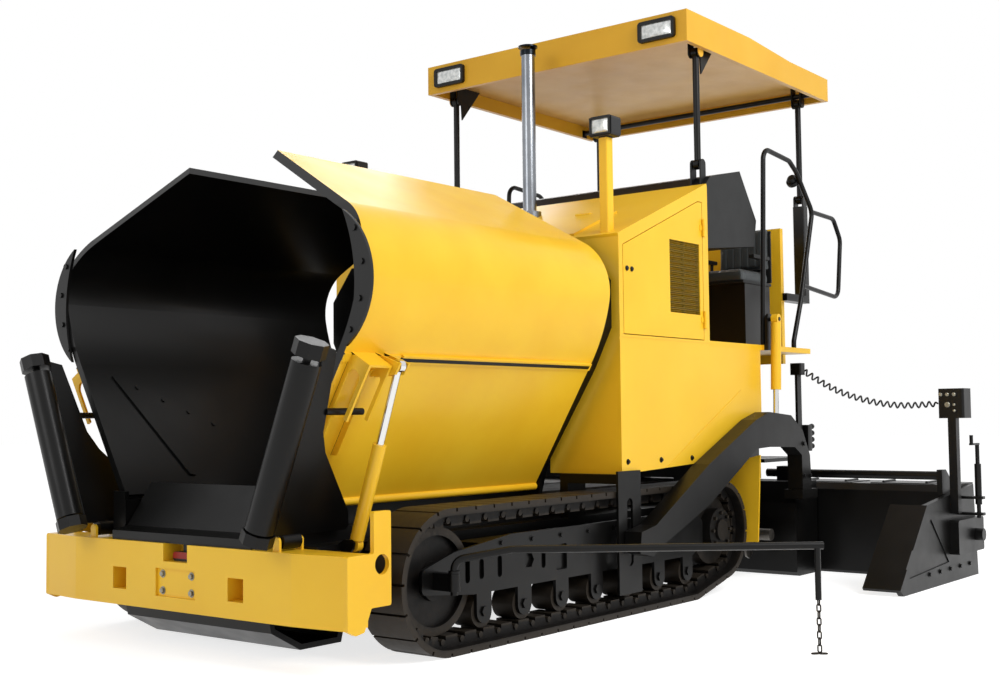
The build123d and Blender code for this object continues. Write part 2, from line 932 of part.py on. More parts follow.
# Body panels: front wall, rear wall, lower side panels and the frames and hinges of the engine doors
wall_rear_station = body_rear_station + panel
hood_plate = 20
crease_depth = 3
frame_front = 45
frame_rear = 75
frame_under_hood = 66
level_run = 60
door_hinge_station = wall_rear_station - frame_rear - door_gap / 2
door_hinge_y = half_width + 12
door_pin_radius = 5
knuckle_radius = 11
knuckle_length = 40
knuckle_gap = 1
knuckle_bottoms = (1840, 2480)


def hood_height(station):
    """Height of the hood's underside at a station."""
    slope = (hood_rear_height - hood_front_height) / (body_rear_station - body_front_station)
    return hood_front_height + (station - body_front_station) * slope


def door_outline(inset):
    """Opening for an engine door, as stations and heights; inset gives the door itself."""
    front = body_front_station + frame_front + inset
    rear = wall_rear_station - frame_rear - inset
    step = wall_rear_station - frame_rear - level_run
    top = frame_under_hood + inset
    return [
        (front, door_bottom + inset),
        (rear, door_bottom + inset),
        (rear, hood_height(step) - top),
        (step, hood_height(step) - top),
        (front, hood_height(front) - top),
    ]


with BuildPart() as body_panels:
    with BuildSketch(cross_plane(body_front_station + panel)):
        with Locations((0, (body_floor + hood_front_height) / 2)):
            Rectangle(machine_width, hood_front_height - body_floor)
        with Locations((0, body_floor)):
            Rectangle(1400, 500, mode=Mode.SUBTRACT)
    extrude(amount=panel)
    with BuildSketch(cross_plane(body_rear_station + panel)):
        with Locations((0, (sill_height + hood_rear_height) / 2)):
            Rectangle(machine_width, hood_rear_height - sill_height)
    extrude(amount=panel)
    for outer in (half_width, -half_width + panel):
        with BuildSketch(side_plane(outer)):
            with BuildLine():
                Polyline(
                    *stations(
                        [
                            (body_front_station, body_floor),
                            (3730, 930),
                            (4360, 1220),
                            (4360, sill_height),
                            (body_front_station, sill_height),
                        ]
                    ),
                    close=True,
                )
            make_face()
        extrude(amount=panel)
    with BuildSketch(level(sill_height - panel)):
        for side in (1, -1):
            with Locations((fore((body_front_station + wall_rear_station) / 2), side * (half_width - 110))):
                Rectangle(wall_rear_station - body_front_station, 160)
    extrude(amount=panel)
    for outer in (half_width, -half_width + panel):
        with BuildSketch(side_plane(outer)):
            with BuildLine():
                Polyline(
                    *stations(
                        [
                            (body_front_station, sill_height - panel),
                            (wall_rear_station, sill_height - panel),
                            (wall_rear_station, hood_height(wall_rear_station)),
                            (body_front_station, hood_height(body_front_station)),
                        ]
                    ),
                    close=True,
                )
            make_face()
            with BuildLine():
                Polyline(*stations(door_outline(0)), close=True)
            make_face(mode=Mode.SUBTRACT)
        extrude(amount=panel)
    for outer in (half_width, -half_width + crease_depth):
        with BuildSketch(side_plane(outer)):
            with BuildLine():
                Polyline(*stations([(2954, 894), (2962, 890), (4038, 1417), (4030, 1421)]), close=True)
            make_face()
            with Locations((fore((body_front_station + wall_rear_station) / 2), sill_height + 12)):
                Rectangle(wall_rear_station - body_front_station + 2, 18)
        extrude(amount=crease_depth, mode=Mode.SUBTRACT)
    for bottom in knuckle_bottoms:
        for low in (bottom, bottom + 2 * knuckle_length):
            with BuildSketch(level(low)):
                for side in (1, -1):
                    with Locations((fore(door_hinge_station), side * door_hinge_y)):
                        Circle(knuckle_radius)
                    with Locations((fore(door_hinge_station + 20), side * (half_width + 2))):
                        Rectangle(34, 6)
            extrude(amount=knuckle_length)
        with BuildSketch(level(bottom + knuckle_length)):
            for side in (1, -1):
                with Locations((fore(door_hinge_station), side * door_hinge_y)):
                    Circle(door_pin_radius)
        extrude(amount=knuckle_length)
save(body_panels.part, "body_panels")

# Hood: sloping top between the front and rear walls, with an opening for its lid and the lid's hinges
hood_run = body_rear_station + panel - body_front_station
lid_hinge_run = lid_start + lid_length + 3
lid_hinge_height = 34
lid_knuckles = (-600, 0, 600)
hood_rise = hood_rear_height - hood_front_height
hood_slope = math.degrees(math.atan2(hood_rise, body_rear_station - body_front_station))
hood_plane = Plane(
    origin=(fore(body_front_station), 0, hood_front_height),
    x_dir=(-math.cos(math.radians(hood_slope)), 0, math.sin(math.radians(hood_slope))),
    z_dir=(math.sin(math.radians(hood_slope)), 0, math.cos(math.radians(hood_slope))),
)
# The hood seen from its side: its x runs up the slope, its y off the hood, and it extrudes towards +Y
hood_side = Plane(origin=hood_plane.origin, x_dir=hood_plane.x_dir, z_dir=(0, 1, 0))
hood_length = hood_run / math.cos(math.radians(hood_slope))
with BuildPart() as hood:
    with BuildSketch(hood_plane):
        with Locations((hood_length / 2, 0)):
            Rectangle(hood_length, machine_width)
        with Locations((lid_start + lid_length / 2, 0)):
            Rectangle(lid_length + 2 * door_gap, 2 * (lid_half_width + door_gap), mode=Mode.SUBTRACT)
    extrude(amount=hood_plate)
    for middle in lid_knuckles:
        for near in (middle - 1.5 * knuckle_length, middle + 0.5 * knuckle_length):
            with BuildSketch(hood_side.offset(near)):
                with Locations((lid_hinge_run, lid_hinge_height)):
                    Circle(knuckle_radius)
                with Locations((lid_hinge_run + 16, (hood_plate + lid_hinge_height) / 2 - 1)):
                    Rectangle(26, lid_hinge_height - hood_plate + 2)
            extrude(amount=knuckle_length)
        with BuildSketch(hood_side.offset(middle - 0.5 * knuckle_length)):
            with Locations((lid_hinge_run, lid_hinge_height)):
                Circle(door_pin_radius)
        extrude(amount=knuckle_length)
save(hood.part, "hood")

with BuildPart() as hood_lid:
    with BuildSketch(hood_plane):
        with Locations((lid_start + lid_length / 2, 0)):
            Rectangle(lid_length, 2 * lid_half_width)
    extrude(amount=lid_hinge_height)
    for middle in lid_knuckles:
        with BuildSketch(hood_side.offset(middle - 1.5 * knuckle_length - knuckle_gap)):
            with Locations((lid_hinge_run, lid_hinge_height)):
                Circle(knuckle_radius + 3)
        extrude(amount=3 * knuckle_length + 2 * knuckle_gap, mode=Mode.SUBTRACT)
        with BuildSketch(hood_side.offset(middle - 0.5 * knuckle_length + knuckle_gap)):
            with Locations((lid_hinge_run, lid_hinge_height)):
                Circle(knuckle_radius)
            with Locations((lid_hinge_run - 14, lid_hinge_height - 6)):
                Rectangle(16, 12)
            with Locations((lid_hinge_run, lid_hinge_height)):
                Circle(door_pin_radius + pin_clearance, mode=Mode.SUBTRACT)
        extrude(amount=knuckle_length - 2 * knuckle_gap)
save(hood_lid.part, "hood_lid")

# Engine doors: hinged at their rear edge, with a slatted window
grille_station = 3275
grille_height = 2175
grille_width = 400
grille_rise = 490
slat_pitch = 35
slat = 16
with BuildPart() as engine_door:
    with BuildSketch(side_plane(half_width)):
        with BuildLine():
            Polyline(*stations(door_outline(door_gap)), close=True)
        make_face()
        with Locations((fore(grille_station), grille_height)):
            Rectangle(grille_width, grille_rise, mode=Mode.SUBTRACT)
    extrude(amount=door_thickness)
    with BuildSketch(side_plane(half_width - 8)):
        with Locations((fore(grille_station), grille_height)):
            with GridLocations(0, slat_pitch, 1, int(grille_rise / slat_pitch) - 1):
                Rectangle(grille_width + 4, slat)
            Rectangle(slat, grille_rise + 4)
    extrude(amount=door_thickness - 16)
    for bottom in knuckle_bottoms:
        with BuildSketch(level(bottom + knuckle_length + knuckle_gap)):
            with Locations((fore(door_hinge_station), door_hinge_y)):
                Circle(knuckle_radius)
            with Locations((fore(door_hinge_station - 20), half_width + 2)):
                Rectangle(34, 6)
            with Locations((fore(door_hinge_station), door_hinge_y)):
                Circle(door_pin_radius + pin_clearance, mode=Mode.SUBTRACT)
        extrude(amount=knuckle_length - 2 * knuckle_gap)
save_pair(engine_door.part, "engine_door")

# Engine: one plain block on its bearers
with BuildPart() as engine_block:
    with BuildSketch(level(1150)):
        with Locations((fore(3010), 0)):
            Rectangle(880, 1200)
    extrude(amount=850)
    with BuildSketch(level(1100)):
        with Locations((fore((body_front_station + panel + body_rear_station) / 2), 0)):
            Rectangle(body_rear_station - body_front_station - panel, machine_width - 2 * panel)
    extrude(amount=50)
save(engine_block.part, "engine_block")

# Exhaust pipe with its rain cap
with BuildPart() as exhaust:
    with BuildSketch(level(2600)):
        with Locations((fore(3200), 0)):
            Circle(50)
    extrude(amount=1350)
    with BuildSketch(level(3915)):
        with Locations((fore(3200), 0)):
            Circle(58)
    extrude(amount=35)
    with BuildSketch(level(3900)):
        with Locations((fore(3200), 0)):
            Circle(44)
    extrude(amount=60, mode=Mode.SUBTRACT)
    with BuildSketch(level(3920)):
        with Locations((fore(3200) - 62, 0)):
            Rectangle(24, 34)
    extrude(amount=62)
    with BuildSketch(level(3970)):
        with Locations((fore(3200), 0)):
            Circle(72)
    extrude(amount=12)
    with BuildSketch(level(2600)):
        with Locations((fore(3200), 0)):
            Circle(85)
    extrude(amount=145)
    split(bisect_by=hood_plane.offset(20), keep=Keep.TOP)
save(exhaust.part, "exhaust")

# Light masts at the front corners of the hood
with BuildPart() as light_mast:
    with BuildSketch(level(hood_front_height - 20)):
        with Locations((fore(body_front_station + 70), 1120)):
            RectangleRounded(70, 70, 12)
    extrude(amount=700)
    split(bisect_by=hood_plane.offset(20), keep=Keep.TOP)
    with BuildSketch(cross_plane(body_front_station + 120)):
        with Locations((1120, hood_front_height + 720)):
            RectangleRounded(170, 130, 20)
    extrude(amount=110)
save_both(light_mast.part, "light_masts")

def post_clevis(station, y, height, reach):
    """Two ears and a pin round a post's eye; reach is the way to what carries them."""
    with BuildPart() as clevis:
        for outer in (y + post_ear_gap + post_ear, y - post_ear_gap):
            with BuildSketch(side_plane(outer)):
                with Locations((fore(station), height + reach / 2)):
                    Rectangle(2 * post_eye_radius, abs(reach))
                with Locations((fore(station), height)):
                    Circle(post_eye_radius)
            extrude(amount=post_ear)
        with BuildSketch(side_plane(y + post_ear_gap)):
            with Locations((fore(station), height)):
                Circle(post_pin_radius)
        extrude(amount=2 * post_ear_gap)
    return clevis.part


# Operator's platform: floor, tank below, rear panel, seat pedestals, lift brackets and the rear post feet
seat_y = 780
foot_column = (80, 100)
foot_arm_bottom = 2160
foot_arm_height = 60
with BuildPart() as platform:
    with BuildSketch(level(platform_height)):
        with Locations((fore((body_rear_station + panel + platform_end_station) / 2), 0)):
            Rectangle(platform_end_station - body_rear_station - panel, 2 * platform_half_width)
        for side in (1, -1):
            with Locations((fore(lift_top_station), side * (lift_plate_outer + platform_half_width) / 2)):
                Rectangle(90, lift_plate_outer - platform_half_width)
    extrude(amount=floor_thickness)
    for side in (1, -1):
        with BuildSketch(level(floor_top)):
            with Locations((fore(4850), side * seat_y)):
                Rectangle(420, 420)
        extrude(amount=500)
        with BuildSketch(side_plane(lift_plate_outer if side == 1 else 20 - lift_plate_outer)):
            with Locations((fore(lift_top_station), (floor_top + lift_top_height) / 2)):
                Rectangle(90, lift_top_height - floor_top)
            with Locations((fore(lift_top_station), lift_top_height)):
                Circle(45)
        extrude(amount=20)
        with BuildSketch(side_plane(lift_plate_outer + 80 if side == 1 else -lift_plate_outer)):
            with Locations((fore(lift_top_station), lift_top_height)):
                Circle(lift_pin_radius)
        extrude(amount=80)
        add(post_clevis(rear_post_station, side * rear_post_y, post_foot_height, -110))
        with BuildSketch(level(foot_arm_bottom)):
            with Locations((fore(rear_post_station), side * rear_post_y)):
                RectangleRounded(*foot_column, 10)
        extrude(amount=post_foot_height - 60 - foot_arm_bottom)
        with BuildSketch(level(foot_arm_bottom)):
            with Locations((fore((rear_post_station + platform_end_station) / 2), side * rear_post_y)):
                Rectangle(rear_post_station - platform_end_station, foot_column[1])
        extrude(amount=foot_arm_height)
    with BuildSketch(side_plane(900)):
        with BuildLine():
            Polyline(
                *stations(
                    [
                        (3700, platform_height),
                        (3700, 1150),
                        (4300, 1150),
                        (4500, 1400),
                        (5000, 1500),
                        (5000, platform_height),
                    ]
                ),
                close=True,
            )
        make_face()
    extrude(amount=1800)
    with BuildSketch(cross_plane(platform_end_station + 50)):
        with Locations((0, 2200)):
            Rectangle(2 * rear_panel_half_width, 1100)
    extrude(amount=50)
save(platform.part, "platform")

# Console across the front of the platform, with the feet of the front canopy posts
with BuildPart() as console:
    with BuildSketch(side_plane(1200)):
        with BuildLine():
            Polyline(
                *stations(
                    [
                        (body_rear_station + panel, 2410),
                        (body_rear_station + panel, 2800),
                        (3740, 2940),
                        (4190, 3040),
                        (4440, 2700),
                        (4400, 2500),
                    ]
                ),
                close=True,
            )
        make_face()
    extrude(amount=2400)
    for side in (1, -1):
        add(post_clevis(front_post_station, side * front_post_y, post_foot_height, -170))
save(console.part, "console")

# Seats: cushion and backrest on each pedestal
with BuildPart() as seat:
    with BuildSketch(level(floor_top + 500)):
        with Locations((fore(4830), seat_y)):
            RectangleRounded(520, 480, 60)
    extrude(amount=110)
    with BuildSketch(level(floor_top + 610)):
        with Locations((fore(5040), seat_y)):
            RectangleRounded(100, 480, 40)
    extrude(amount=380)
save_both(seat.part, "seats")


# Handrails: bent tubes at the sides of the platform
def tube(points, radius, bend):
    """Round bar along the points, with every corner bent."""
    with BuildPart() as bar:
        with BuildLine() as route:
            FilletPolyline(*points, radius=bend)
        with BuildSketch(Plane(origin=route.line @ 0, z_dir=route.line % 0)):
            Circle(radius)
        sweep()
    return bar.part


rail_radius = 19
rail_y = half_width - 30
with BuildPart() as handrail:
    add(
        tube(
            [
                (fore(4470), rail_y, floor_top),
                (fore(4470), rail_y, floor_top + 50),
                (fore(4541), rail_y, 3267),
                (fore(4986), rail_y, 3234),
                (fore(5108), rail_y, 3164),
                (fore(5389), rail_y, 2876),
                (fore(5143), rail_y, 2145),
                (fore(4995), rail_y, floor_top + 50),
                (fore(4995), rail_y, floor_top),
            ],
            rail_radius,
            90,
        )
    )
    add(
        tube(
            [
                (fore(5365), rail_y, 2876),
                (fore(5797), rail_y, 2866),
                (fore(5929), rail_y, 2703),
                (fore(5857), rail_y, 2208),
                (fore(5182), rail_y, 2262),
            ],
            rail_radius - 1,
            90,
        )
    )
save_both(handrail.part, "handrails")

# Canopy: roof shell with lamps in its front, brackets, a cross bar and the pins of its folding posts
roof_lamp_y = 963
roof_lamp_z = 3975
roof_hollow = 110
with BuildPart() as canopy_roof:
    with BuildSketch(side_plane(roof_half_width)):
        with BuildLine():
            Polyline(
                *stations(
                    [
                        (roof_front_station, roof_bottom),
                        (roof_front_station, roof_top + 25),
                        (4400, roof_top + 30),
                        (5090, roof_top - 10),
                        (roof_rear_station, roof_top - 12),
                        (roof_rear_station, roof_bottom),
                    ]
                ),
                close=True,
            )
        make_face()
    extrude(amount=2 * roof_half_width)
    with BuildSketch(level(roof_bottom)):
        with Locations((fore((roof_front_station + roof_rear_station) / 2), 0)):
            Rectangle(roof_rear_station - roof_front_station - 80, 2 * roof_half_width - 80)
    extrude(amount=roof_hollow, mode=Mode.SUBTRACT)
    head_reach = roof_bottom + roof_hollow - post_top_height
    for side in (1, -1):
        add(post_clevis(front_post_station, side * front_post_y, post_top_height, head_reach))
        add(post_clevis(rear_post_station, side * rear_post_y, post_top_height, head_reach))
        with BuildSketch(side_plane(side * front_post_y + 6)):
            with BuildLine():
                Polyline(*stations([(3758, 3980), (4020, 3980), (3780, 3700)]), close=True)
            make_face()
        extrude(amount=12)
    with BuildSketch(cross_plane(roof_front_station)):
        with Locations((roof_lamp_y, roof_lamp_z), (-roof_lamp_y, roof_lamp_z)):
            RectangleRounded(300, 150, 25)
            RectangleRounded(270, 120, 12, mode=Mode.SUBTRACT)
    extrude(amount=30)
    with BuildSketch(cross_plane(roof_front_station)):
        with Locations((roof_lamp_y, roof_lamp_z), (-roof_lamp_y, roof_lamp_z)):
            RectangleRounded(272, 122, 12)
    extrude(amount=18)
    with BuildSketch(side_plane(roof_half_width - 35)):
        with Locations((fore(rear_post_station), roof_bottom + 45)):
            Circle(22)
    extrude(amount=2 * (roof_half_width - 35))
save(canopy_roof.part, "canopy_roof")


# Posts with a hinge eye at the foot and at the head; the roof and the body carry the pins
def canopy_post(station, y):
    """One post with its two eyes, standing from foot to head."""
    with BuildPart() as post:
        for height in (post_foot_height, post_top_height):
            with BuildSketch(side_plane(y + 20)):
                with Locations((fore(station), height)):
                    Circle(post_eye_radius)
                    Circle(post_pin_radius + pin_clearance, mode=Mode.SUBTRACT)
            extrude(amount=40)
        with BuildSketch(level(post_foot_height + 30)):
            with Locations((fore(station), y)):
                Circle(post_radius)
        extrude(amount=post_top_height - post_foot_height - 60)
    return post.part


save_both(canopy_post(front_post_station, front_post_y), "canopy_front_posts")
save_both(canopy_post(rear_post_station, rear_post_y), "canopy_rear_posts")

# Tow arms: bent box arms with a tow pin, a leg down to the screed, a rod pocket and the cord's socket
lift_y = tow_arm_inner + tow_arm_width / 2
socket_station, socket_y, socket_height_top = cord_route_stations[0]
socket_back = 66
socket_foot = 950
leg_front_station = 4713
leg_rear_station = 4870
leg_bottom = 675
with BuildPart() as tow_arm:
    with BuildSketch(side_plane(tow_arm_inner + tow_arm_width)):
        with BuildLine():
            Polyline(
                *stations(
                    [
                        (2410, 400),
                        (2560, 370),
                        (2710, 440),
                        (3290, 649),
                        (3981, 1000),
                        (4183, 1008),
                        (4593, 998),
                        (4710, 935),
                        (leg_front_station, leg_bottom),
                        (leg_rear_station, leg_bottom),
                        (4850, 932),
                        (4730, 1123),
                        (4540, 1235),
                        (4195, 1260),
                        (3980, 1206),
                        (3290, 916),
                        (2600, 560),
                        (2430, 530),
                    ]
                ),
                close=True,
            )
        make_face()
    extrude(amount=tow_arm_width)
    with BuildSketch(side_plane(tow_arm_inner)):
        with Locations((fore(tow_station), tow_height)):
            Circle(tow_pin_radius)
    extrude(amount=40)
    with BuildSketch(level(lift_arm_height - 45)):
        with Locations((fore(lift_station), lift_y)):
            Rectangle(120, 56)
    extrude(amount=200, mode=Mode.SUBTRACT)
    with BuildSketch(side_plane(socket_y + 12)):
        with Locations((fore(socket_station - socket_back), (socket_foot + socket_height_top) / 2)):
            Rectangle(70, socket_height_top - socket_foot)
    extrude(amount=20)
    with BuildSketch(level(socket_height_top - 45)):
        with Locations((fore(socket_station - socket_back), socket_y)):
            RectangleRounded(80, 90, 12)
    extrude(amount=90)
save_both(tow_arm.part, "tow_arms")

# Lift cylinders between the platform and the tow arms
lift_top = (fore(lift_top_station), lift_top_height)
lift_eye = (fore(lift_station), lift_arm_height)
lift_length = math.dist(lift_top, lift_eye)
lift_direction = Vector(lift_eye[0] - lift_top[0], 0, lift_eye[1] - lift_top[1]).normalized()
lift_plane = Plane(origin=(lift_top[0], lift_y, lift_top[1]), x_dir=(0, 1, 0), z_dir=lift_direction)
with BuildPart() as lift_barrel:
    with BuildSketch(lift_plane.offset(25)):
        Circle(38)
    extrude(amount=500)
    with BuildSketch(lift_plane.offset(60)):
        Circle(lift_rod_radius + rod_clearance)
    extrude(amount=600, mode=Mode.SUBTRACT)
    with BuildSketch(side_plane(lift_y + 25)):
        with Locations(lift_top):
            Circle(38)
            Circle(lift_pin_radius + pin_clearance, mode=Mode.SUBTRACT)
    extrude(amount=50)
save_both(lift_barrel.part, "lift_barrels")
with BuildPart() as lift_rod:
    with BuildSketch(lift_plane.offset(200)):
        Circle(lift_rod_radius)
    extrude(amount=lift_length - 200)
    with BuildSketch(side_plane(lift_y + 18)):
        with Locations(lift_eye):
            Circle(30)
    extrude(amount=36)
save_both(lift_rod.part, "lift_rods")

# Main screed: front moldboard, sole and box
with BuildPart() as screed_body:
    with BuildSketch(side_plane(half_width)):
        with BuildLine():
            Polyline(
                *stations(
                    [
                        (screed_front_station, 30),
                        (screed_front_station, 560),
                        (screed_front_station + 60, screed_height),
                        (screed_rear_station, screed_height),
                        (screed_rear_station, 0),
                        (screed_front_station + 40, 0),
                    ]
                ),
                close=True,
            )
        make_face()
    extrude(amount=machine_width)
    for side in (1, -1):
        with BuildSketch(side_plane(side * (half_width + tow_arm_width / 2 + 15) + tow_arm_width / 2 + 15)):
            with Locations((fore((leg_front_station + screed_front_station) / 2 + 30), leg_bottom - 35)):
                Rectangle(screed_front_station - leg_front_station + 80, 70)
        extrude(amount=tow_arm_width + 30)
    for side in (1, -1):
        with BuildSketch(side_plane(side * 1085 + 115)):
            with Locations((fore(5215), screed_height + 55)):
                Rectangle(120, 110)
                Circle(guide_tube_radius + pin_clearance, mode=Mode.SUBTRACT)
        extrude(amount=230)
save(screed_body.part, "screed_body")

# Walkway behind the screed
walkway_depth = 720
with BuildPart() as screed_walkway:
    with BuildSketch(level(screed_height + 130)):
        with Locations((fore(rear_station - walkway_depth / 2), 0)):
            Rectangle(walkway_depth, 1600)
    extrude(amount=30)
    with BuildSketch(level(screed_height)):
        for side in (1, -1):
            with Locations((fore(screed_rear_station + 20), side * 700)):
                Rectangle(80, 80)
    extrude(amount=160)
save(screed_walkway.part, "screed_walkway")

# Screed extensions: box behind the main screed, slid out on a guide tube, with its end gate
extension_inner = gate_y - 1150
with BuildPart() as screed_extension:
    with BuildSketch(side_plane(gate_y)):
        with BuildLine():
            Polyline(
                *stations(
                    [
                        (extension_front_station, 20),
                        (extension_front_station, 650),
                        (extension_front_station + 50, 700),
                        (extension_rear_station, 700),
                        (extension_rear_station, 0),
                        (extension_front_station + 20, 0),
                    ]
                ),
                close=True,
            )
        make_face()
    extrude(amount=gate_y - extension_inner)
    with BuildSketch(side_plane(gate_y)):
        with Locations((fore(5215), screed_height + 55)):
            Circle(guide_tube_radius)
    extrude(amount=gate_y - 860)
    with BuildSketch(side_plane(gate_y)):
        with BuildLine():
            Polyline(*stations([(5175, 640), (5175, 820), (5260, 820), (5420, 700), (5420, 640)]), close=True)
        make_face()
    extrude(amount=gate_thickness)
save_pair(screed_extension.part, "screed_extension")

# End gate: plate with an inclined deflector in front, control box on its post, gear block and crank spindle
gate_outer = gate_y + gate_thickness
deflector_width = 230
spindle_station = 5395
spindle_out = 150
with BuildPart() as end_gate:
    with BuildSketch(side_plane(gate_outer)):
        with BuildLine():
            Polyline(
                *stations([(4200, 45), (4260, 0), (5800, 0), (5740, 691), (4740, 586)]),
                close=True,
            )
        make_face()
    extrude(amount=gate_thickness)
    with BuildSketch(side_plane(gate_y + 20)):
        with BuildLine():
            Polyline(*stations([(4200, 45), (4740, 586), (4758, 568), (4218, 27)]), close=True)
        make_face()
    extrude(amount=deflector_width + 20)
    with BuildSketch(side_plane(gate_outer)):
        with BuildLine():
            Polyline(*stations([(4811, 486), (4300, 215), (4376, 107), (5160, 150)]), close=True)
        make_face()
    extrude(amount=8, mode=Mode.SUBTRACT)
    with BuildSketch(side_plane(gate_outer + 60)):
        with Locations((fore(5250), 850)):
            Rectangle(70, 700)
    extrude(amount=60)
    with BuildSketch(level(1200)):
        with Locations((fore(5300), gate_outer + 26.5)):
            RectangleRounded(170, 190, 15)
    extrude(amount=220)
    with BuildSketch(side_plane(gate_outer + 70)):
        with Locations((fore(5460), 325)):
            RectangleRounded(560, 250, 20)
    extrude(amount=70)
    with BuildSketch(side_plane(gate_outer + 130)):
        with Locations((fore(5560), 325)):
            Circle(45)
    extrude(amount=60)
    for height in (480, 600):
        with BuildSketch(level(height)):
            with Locations((fore(spindle_station), gate_outer + spindle_out / 2 + 10)):
                RectangleRounded(70, spindle_out + 60, 12)
        extrude(amount=20)
    with BuildSketch(level(460)):
        with Locations((fore(spindle_station), gate_outer + spindle_out)):
            Circle(15)
    extrude(amount=540)
    with BuildSketch(level(560)):
        with Locations((fore(spindle_station), gate_outer + spindle_out)):
            Circle(24)
    extrude(amount=300)
    with BuildSketch(level(1000)):
        with Locations((fore(spindle_station - 60), gate_outer + spindle_out)):
            SlotOverall(170, 30)
    extrude(amount=14)
    with BuildSketch(level(1014)):
        with Locations((fore(spindle_station - 125), gate_outer + spindle_out)):
            Circle(13)
    extrude(amount=60)
save_pair(end_gate.part, "end_gate")

# Curly cord: plain tube from the socket on the left tow arm to the control box on its end gate
cord_points = [Vector(fore(station), y, z) for station, y, z in cord_route_stations]
cord_bends = []
for before, corner, after in zip(cord_points, cord_points[1:], cord_points[2:]):
    half_turn = math.radians((corner - before).get_angle(after - corner)) / 2
    shorter_run = min((corner - before).length, (after - corner).length)
    cord_bends.append(0.45 * shorter_run / math.tan(half_turn))
print("cord bend radii", [round(radius) for radius in cord_bends])
with BuildPart() as curly_cord:
    with BuildLine():
        cord_line = FilletPolyline(*cord_points, radius=cord_bends)
    with BuildSketch(Plane(origin=cord_line @ 0, z_dir=cord_line % 0)):
        Circle(cord_radius)
    sweep()
print("cord volume ratio", curly_cord.part.volume / (math.pi * cord_radius**2 * cord_line.length))
save(curly_cord.part, "curly_cord_left")

# Augers: shaft with a helical flight each side, on a frame behind the tractor
auger_inner = 60.5
auger_outer = 1150
shaft_radius = 45
flight_root = 38
flight_thickness = 14
flight_pitch = 300
flight_turns = 3
flight_step = 30
flight_start = 130
with BuildPart() as auger_flight:
    for step in range(flight_turns * 360 // flight_step + 1):
        turn = math.radians(step * flight_step)
        along_shaft = flight_start + flight_pitch * step * flight_step / 360
        section_plane = Plane(
            origin=(fore(auger_station), along_shaft, auger_height),
            x_dir=(math.cos(turn), 0, math.sin(turn)),
            z_dir=(-math.sin(turn), 0, math.cos(turn)),
        )
        with BuildSketch(section_plane):
            with Locations(((flight_root + auger_radius) / 2, 0)):
                Rectangle(auger_radius - flight_root, flight_thickness)
    loft(ruled=True)
with BuildPart() as auger:
    with BuildSketch(side_plane(auger_outer)):
        with Locations((fore(auger_station), auger_height)):
            Circle(shaft_radius)
    extrude(amount=auger_outer - auger_inner)
    add(auger_flight.part)
save_pair(auger.part, "auger")

# Auger frame: box behind the chassis, middle bearing and a yellow bracket behind each track
side_bracket_station = 4165
with BuildPart() as auger_frame:
    with BuildSketch(side_plane(1000)):
        with BuildLine():
            Polyline(
                *stations(
                    [
                        (chassis_end_station, 560),
                        (chassis_end_station, 980),
                        (4800, 980),
                        (4800, 760),
                        (4520, 760),
                        (4520, 560),
                    ]
                ),
                close=True,
            )
        make_face()
    extrude(amount=2000)
    with BuildSketch(level(650)):
        with Locations((fore(4400), 0)):
            Rectangle(400, 1110)
    extrude(amount=120, mode=Mode.SUBTRACT)
    with BuildSketch(side_plane(60)):
        with Locations((fore(auger_station), (auger_height + 760) / 2)):
            Rectangle(90, 760 - auger_height)
        with Locations((fore(auger_station), auger_height)):
            Circle(70)
    extrude(amount=120)
    for side in (1, -1):
        with BuildSketch(cross_plane(side_bracket_station)):
            with BuildLine():
                Polyline(
                    (side * 980, 700),
                    (side * 980, 880),
                    (side * 1118, 898),
                    (side * 1336, 951),
                    (side * 1305, 326),
                    (side * 1104, 316),
                    (side * 1104, 700),
                    close=True,
                )
            make_face()
        extrude(amount=15)
        with BuildSketch(level(720)):
            with Locations((fore((side_bracket_station + chassis_end_station) / 2), side * 985)):
                Rectangle(chassis_end_station - side_bracket_station + 20, 15)
        extrude(amount=150)
save(auger_frame.part, "auger_frame")

# Steering guide rods: bent tube from a pivot low at the track's front, with a rubber sleeve and a chain
with BuildPart() as guide_rod:
    add(
        tube(
            [
                (fore(rod_pivot_station), rod_pivot_y, holder_bottom - 20),
                (fore(rod_pivot_station), rod_pivot_y, rod_height - 50),
                (fore(rod_pivot_station + 190), rod_pivot_y + 230, rod_height),
                (fore(rod_end_station), rod_end_y, rod_height),
            ],
            rod_radius,
            60,
        )
    )
    with BuildSketch(level(holder_bottom + holder_height + 1)):
        with Locations((fore(rod_pivot_station), rod_pivot_y)):
            Circle(rod_radius + 10)
    extrude(amount=14)
    with BuildSketch(level(rod_sleeve_bottom)):
        with Locations((fore(rod_end_station - 20), rod_end_y - 24)):
            Circle(rod_sleeve_radius)
    extrude(amount=rod_height - rod_sleeve_bottom)
    with BuildSketch(level(0)):
        with Locations((fore(rod_end_station - 20), rod_end_y - 24)):
            Circle(rod_chain_radius)
    extrude(amount=rod_sleeve_bottom + 10)
save_pair(guide_rod.part, "guide_rod")
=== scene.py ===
import math

import bmesh
import bpy
from mathutils import Matrix, Vector
from mathutils.bvhtree import BVHTree


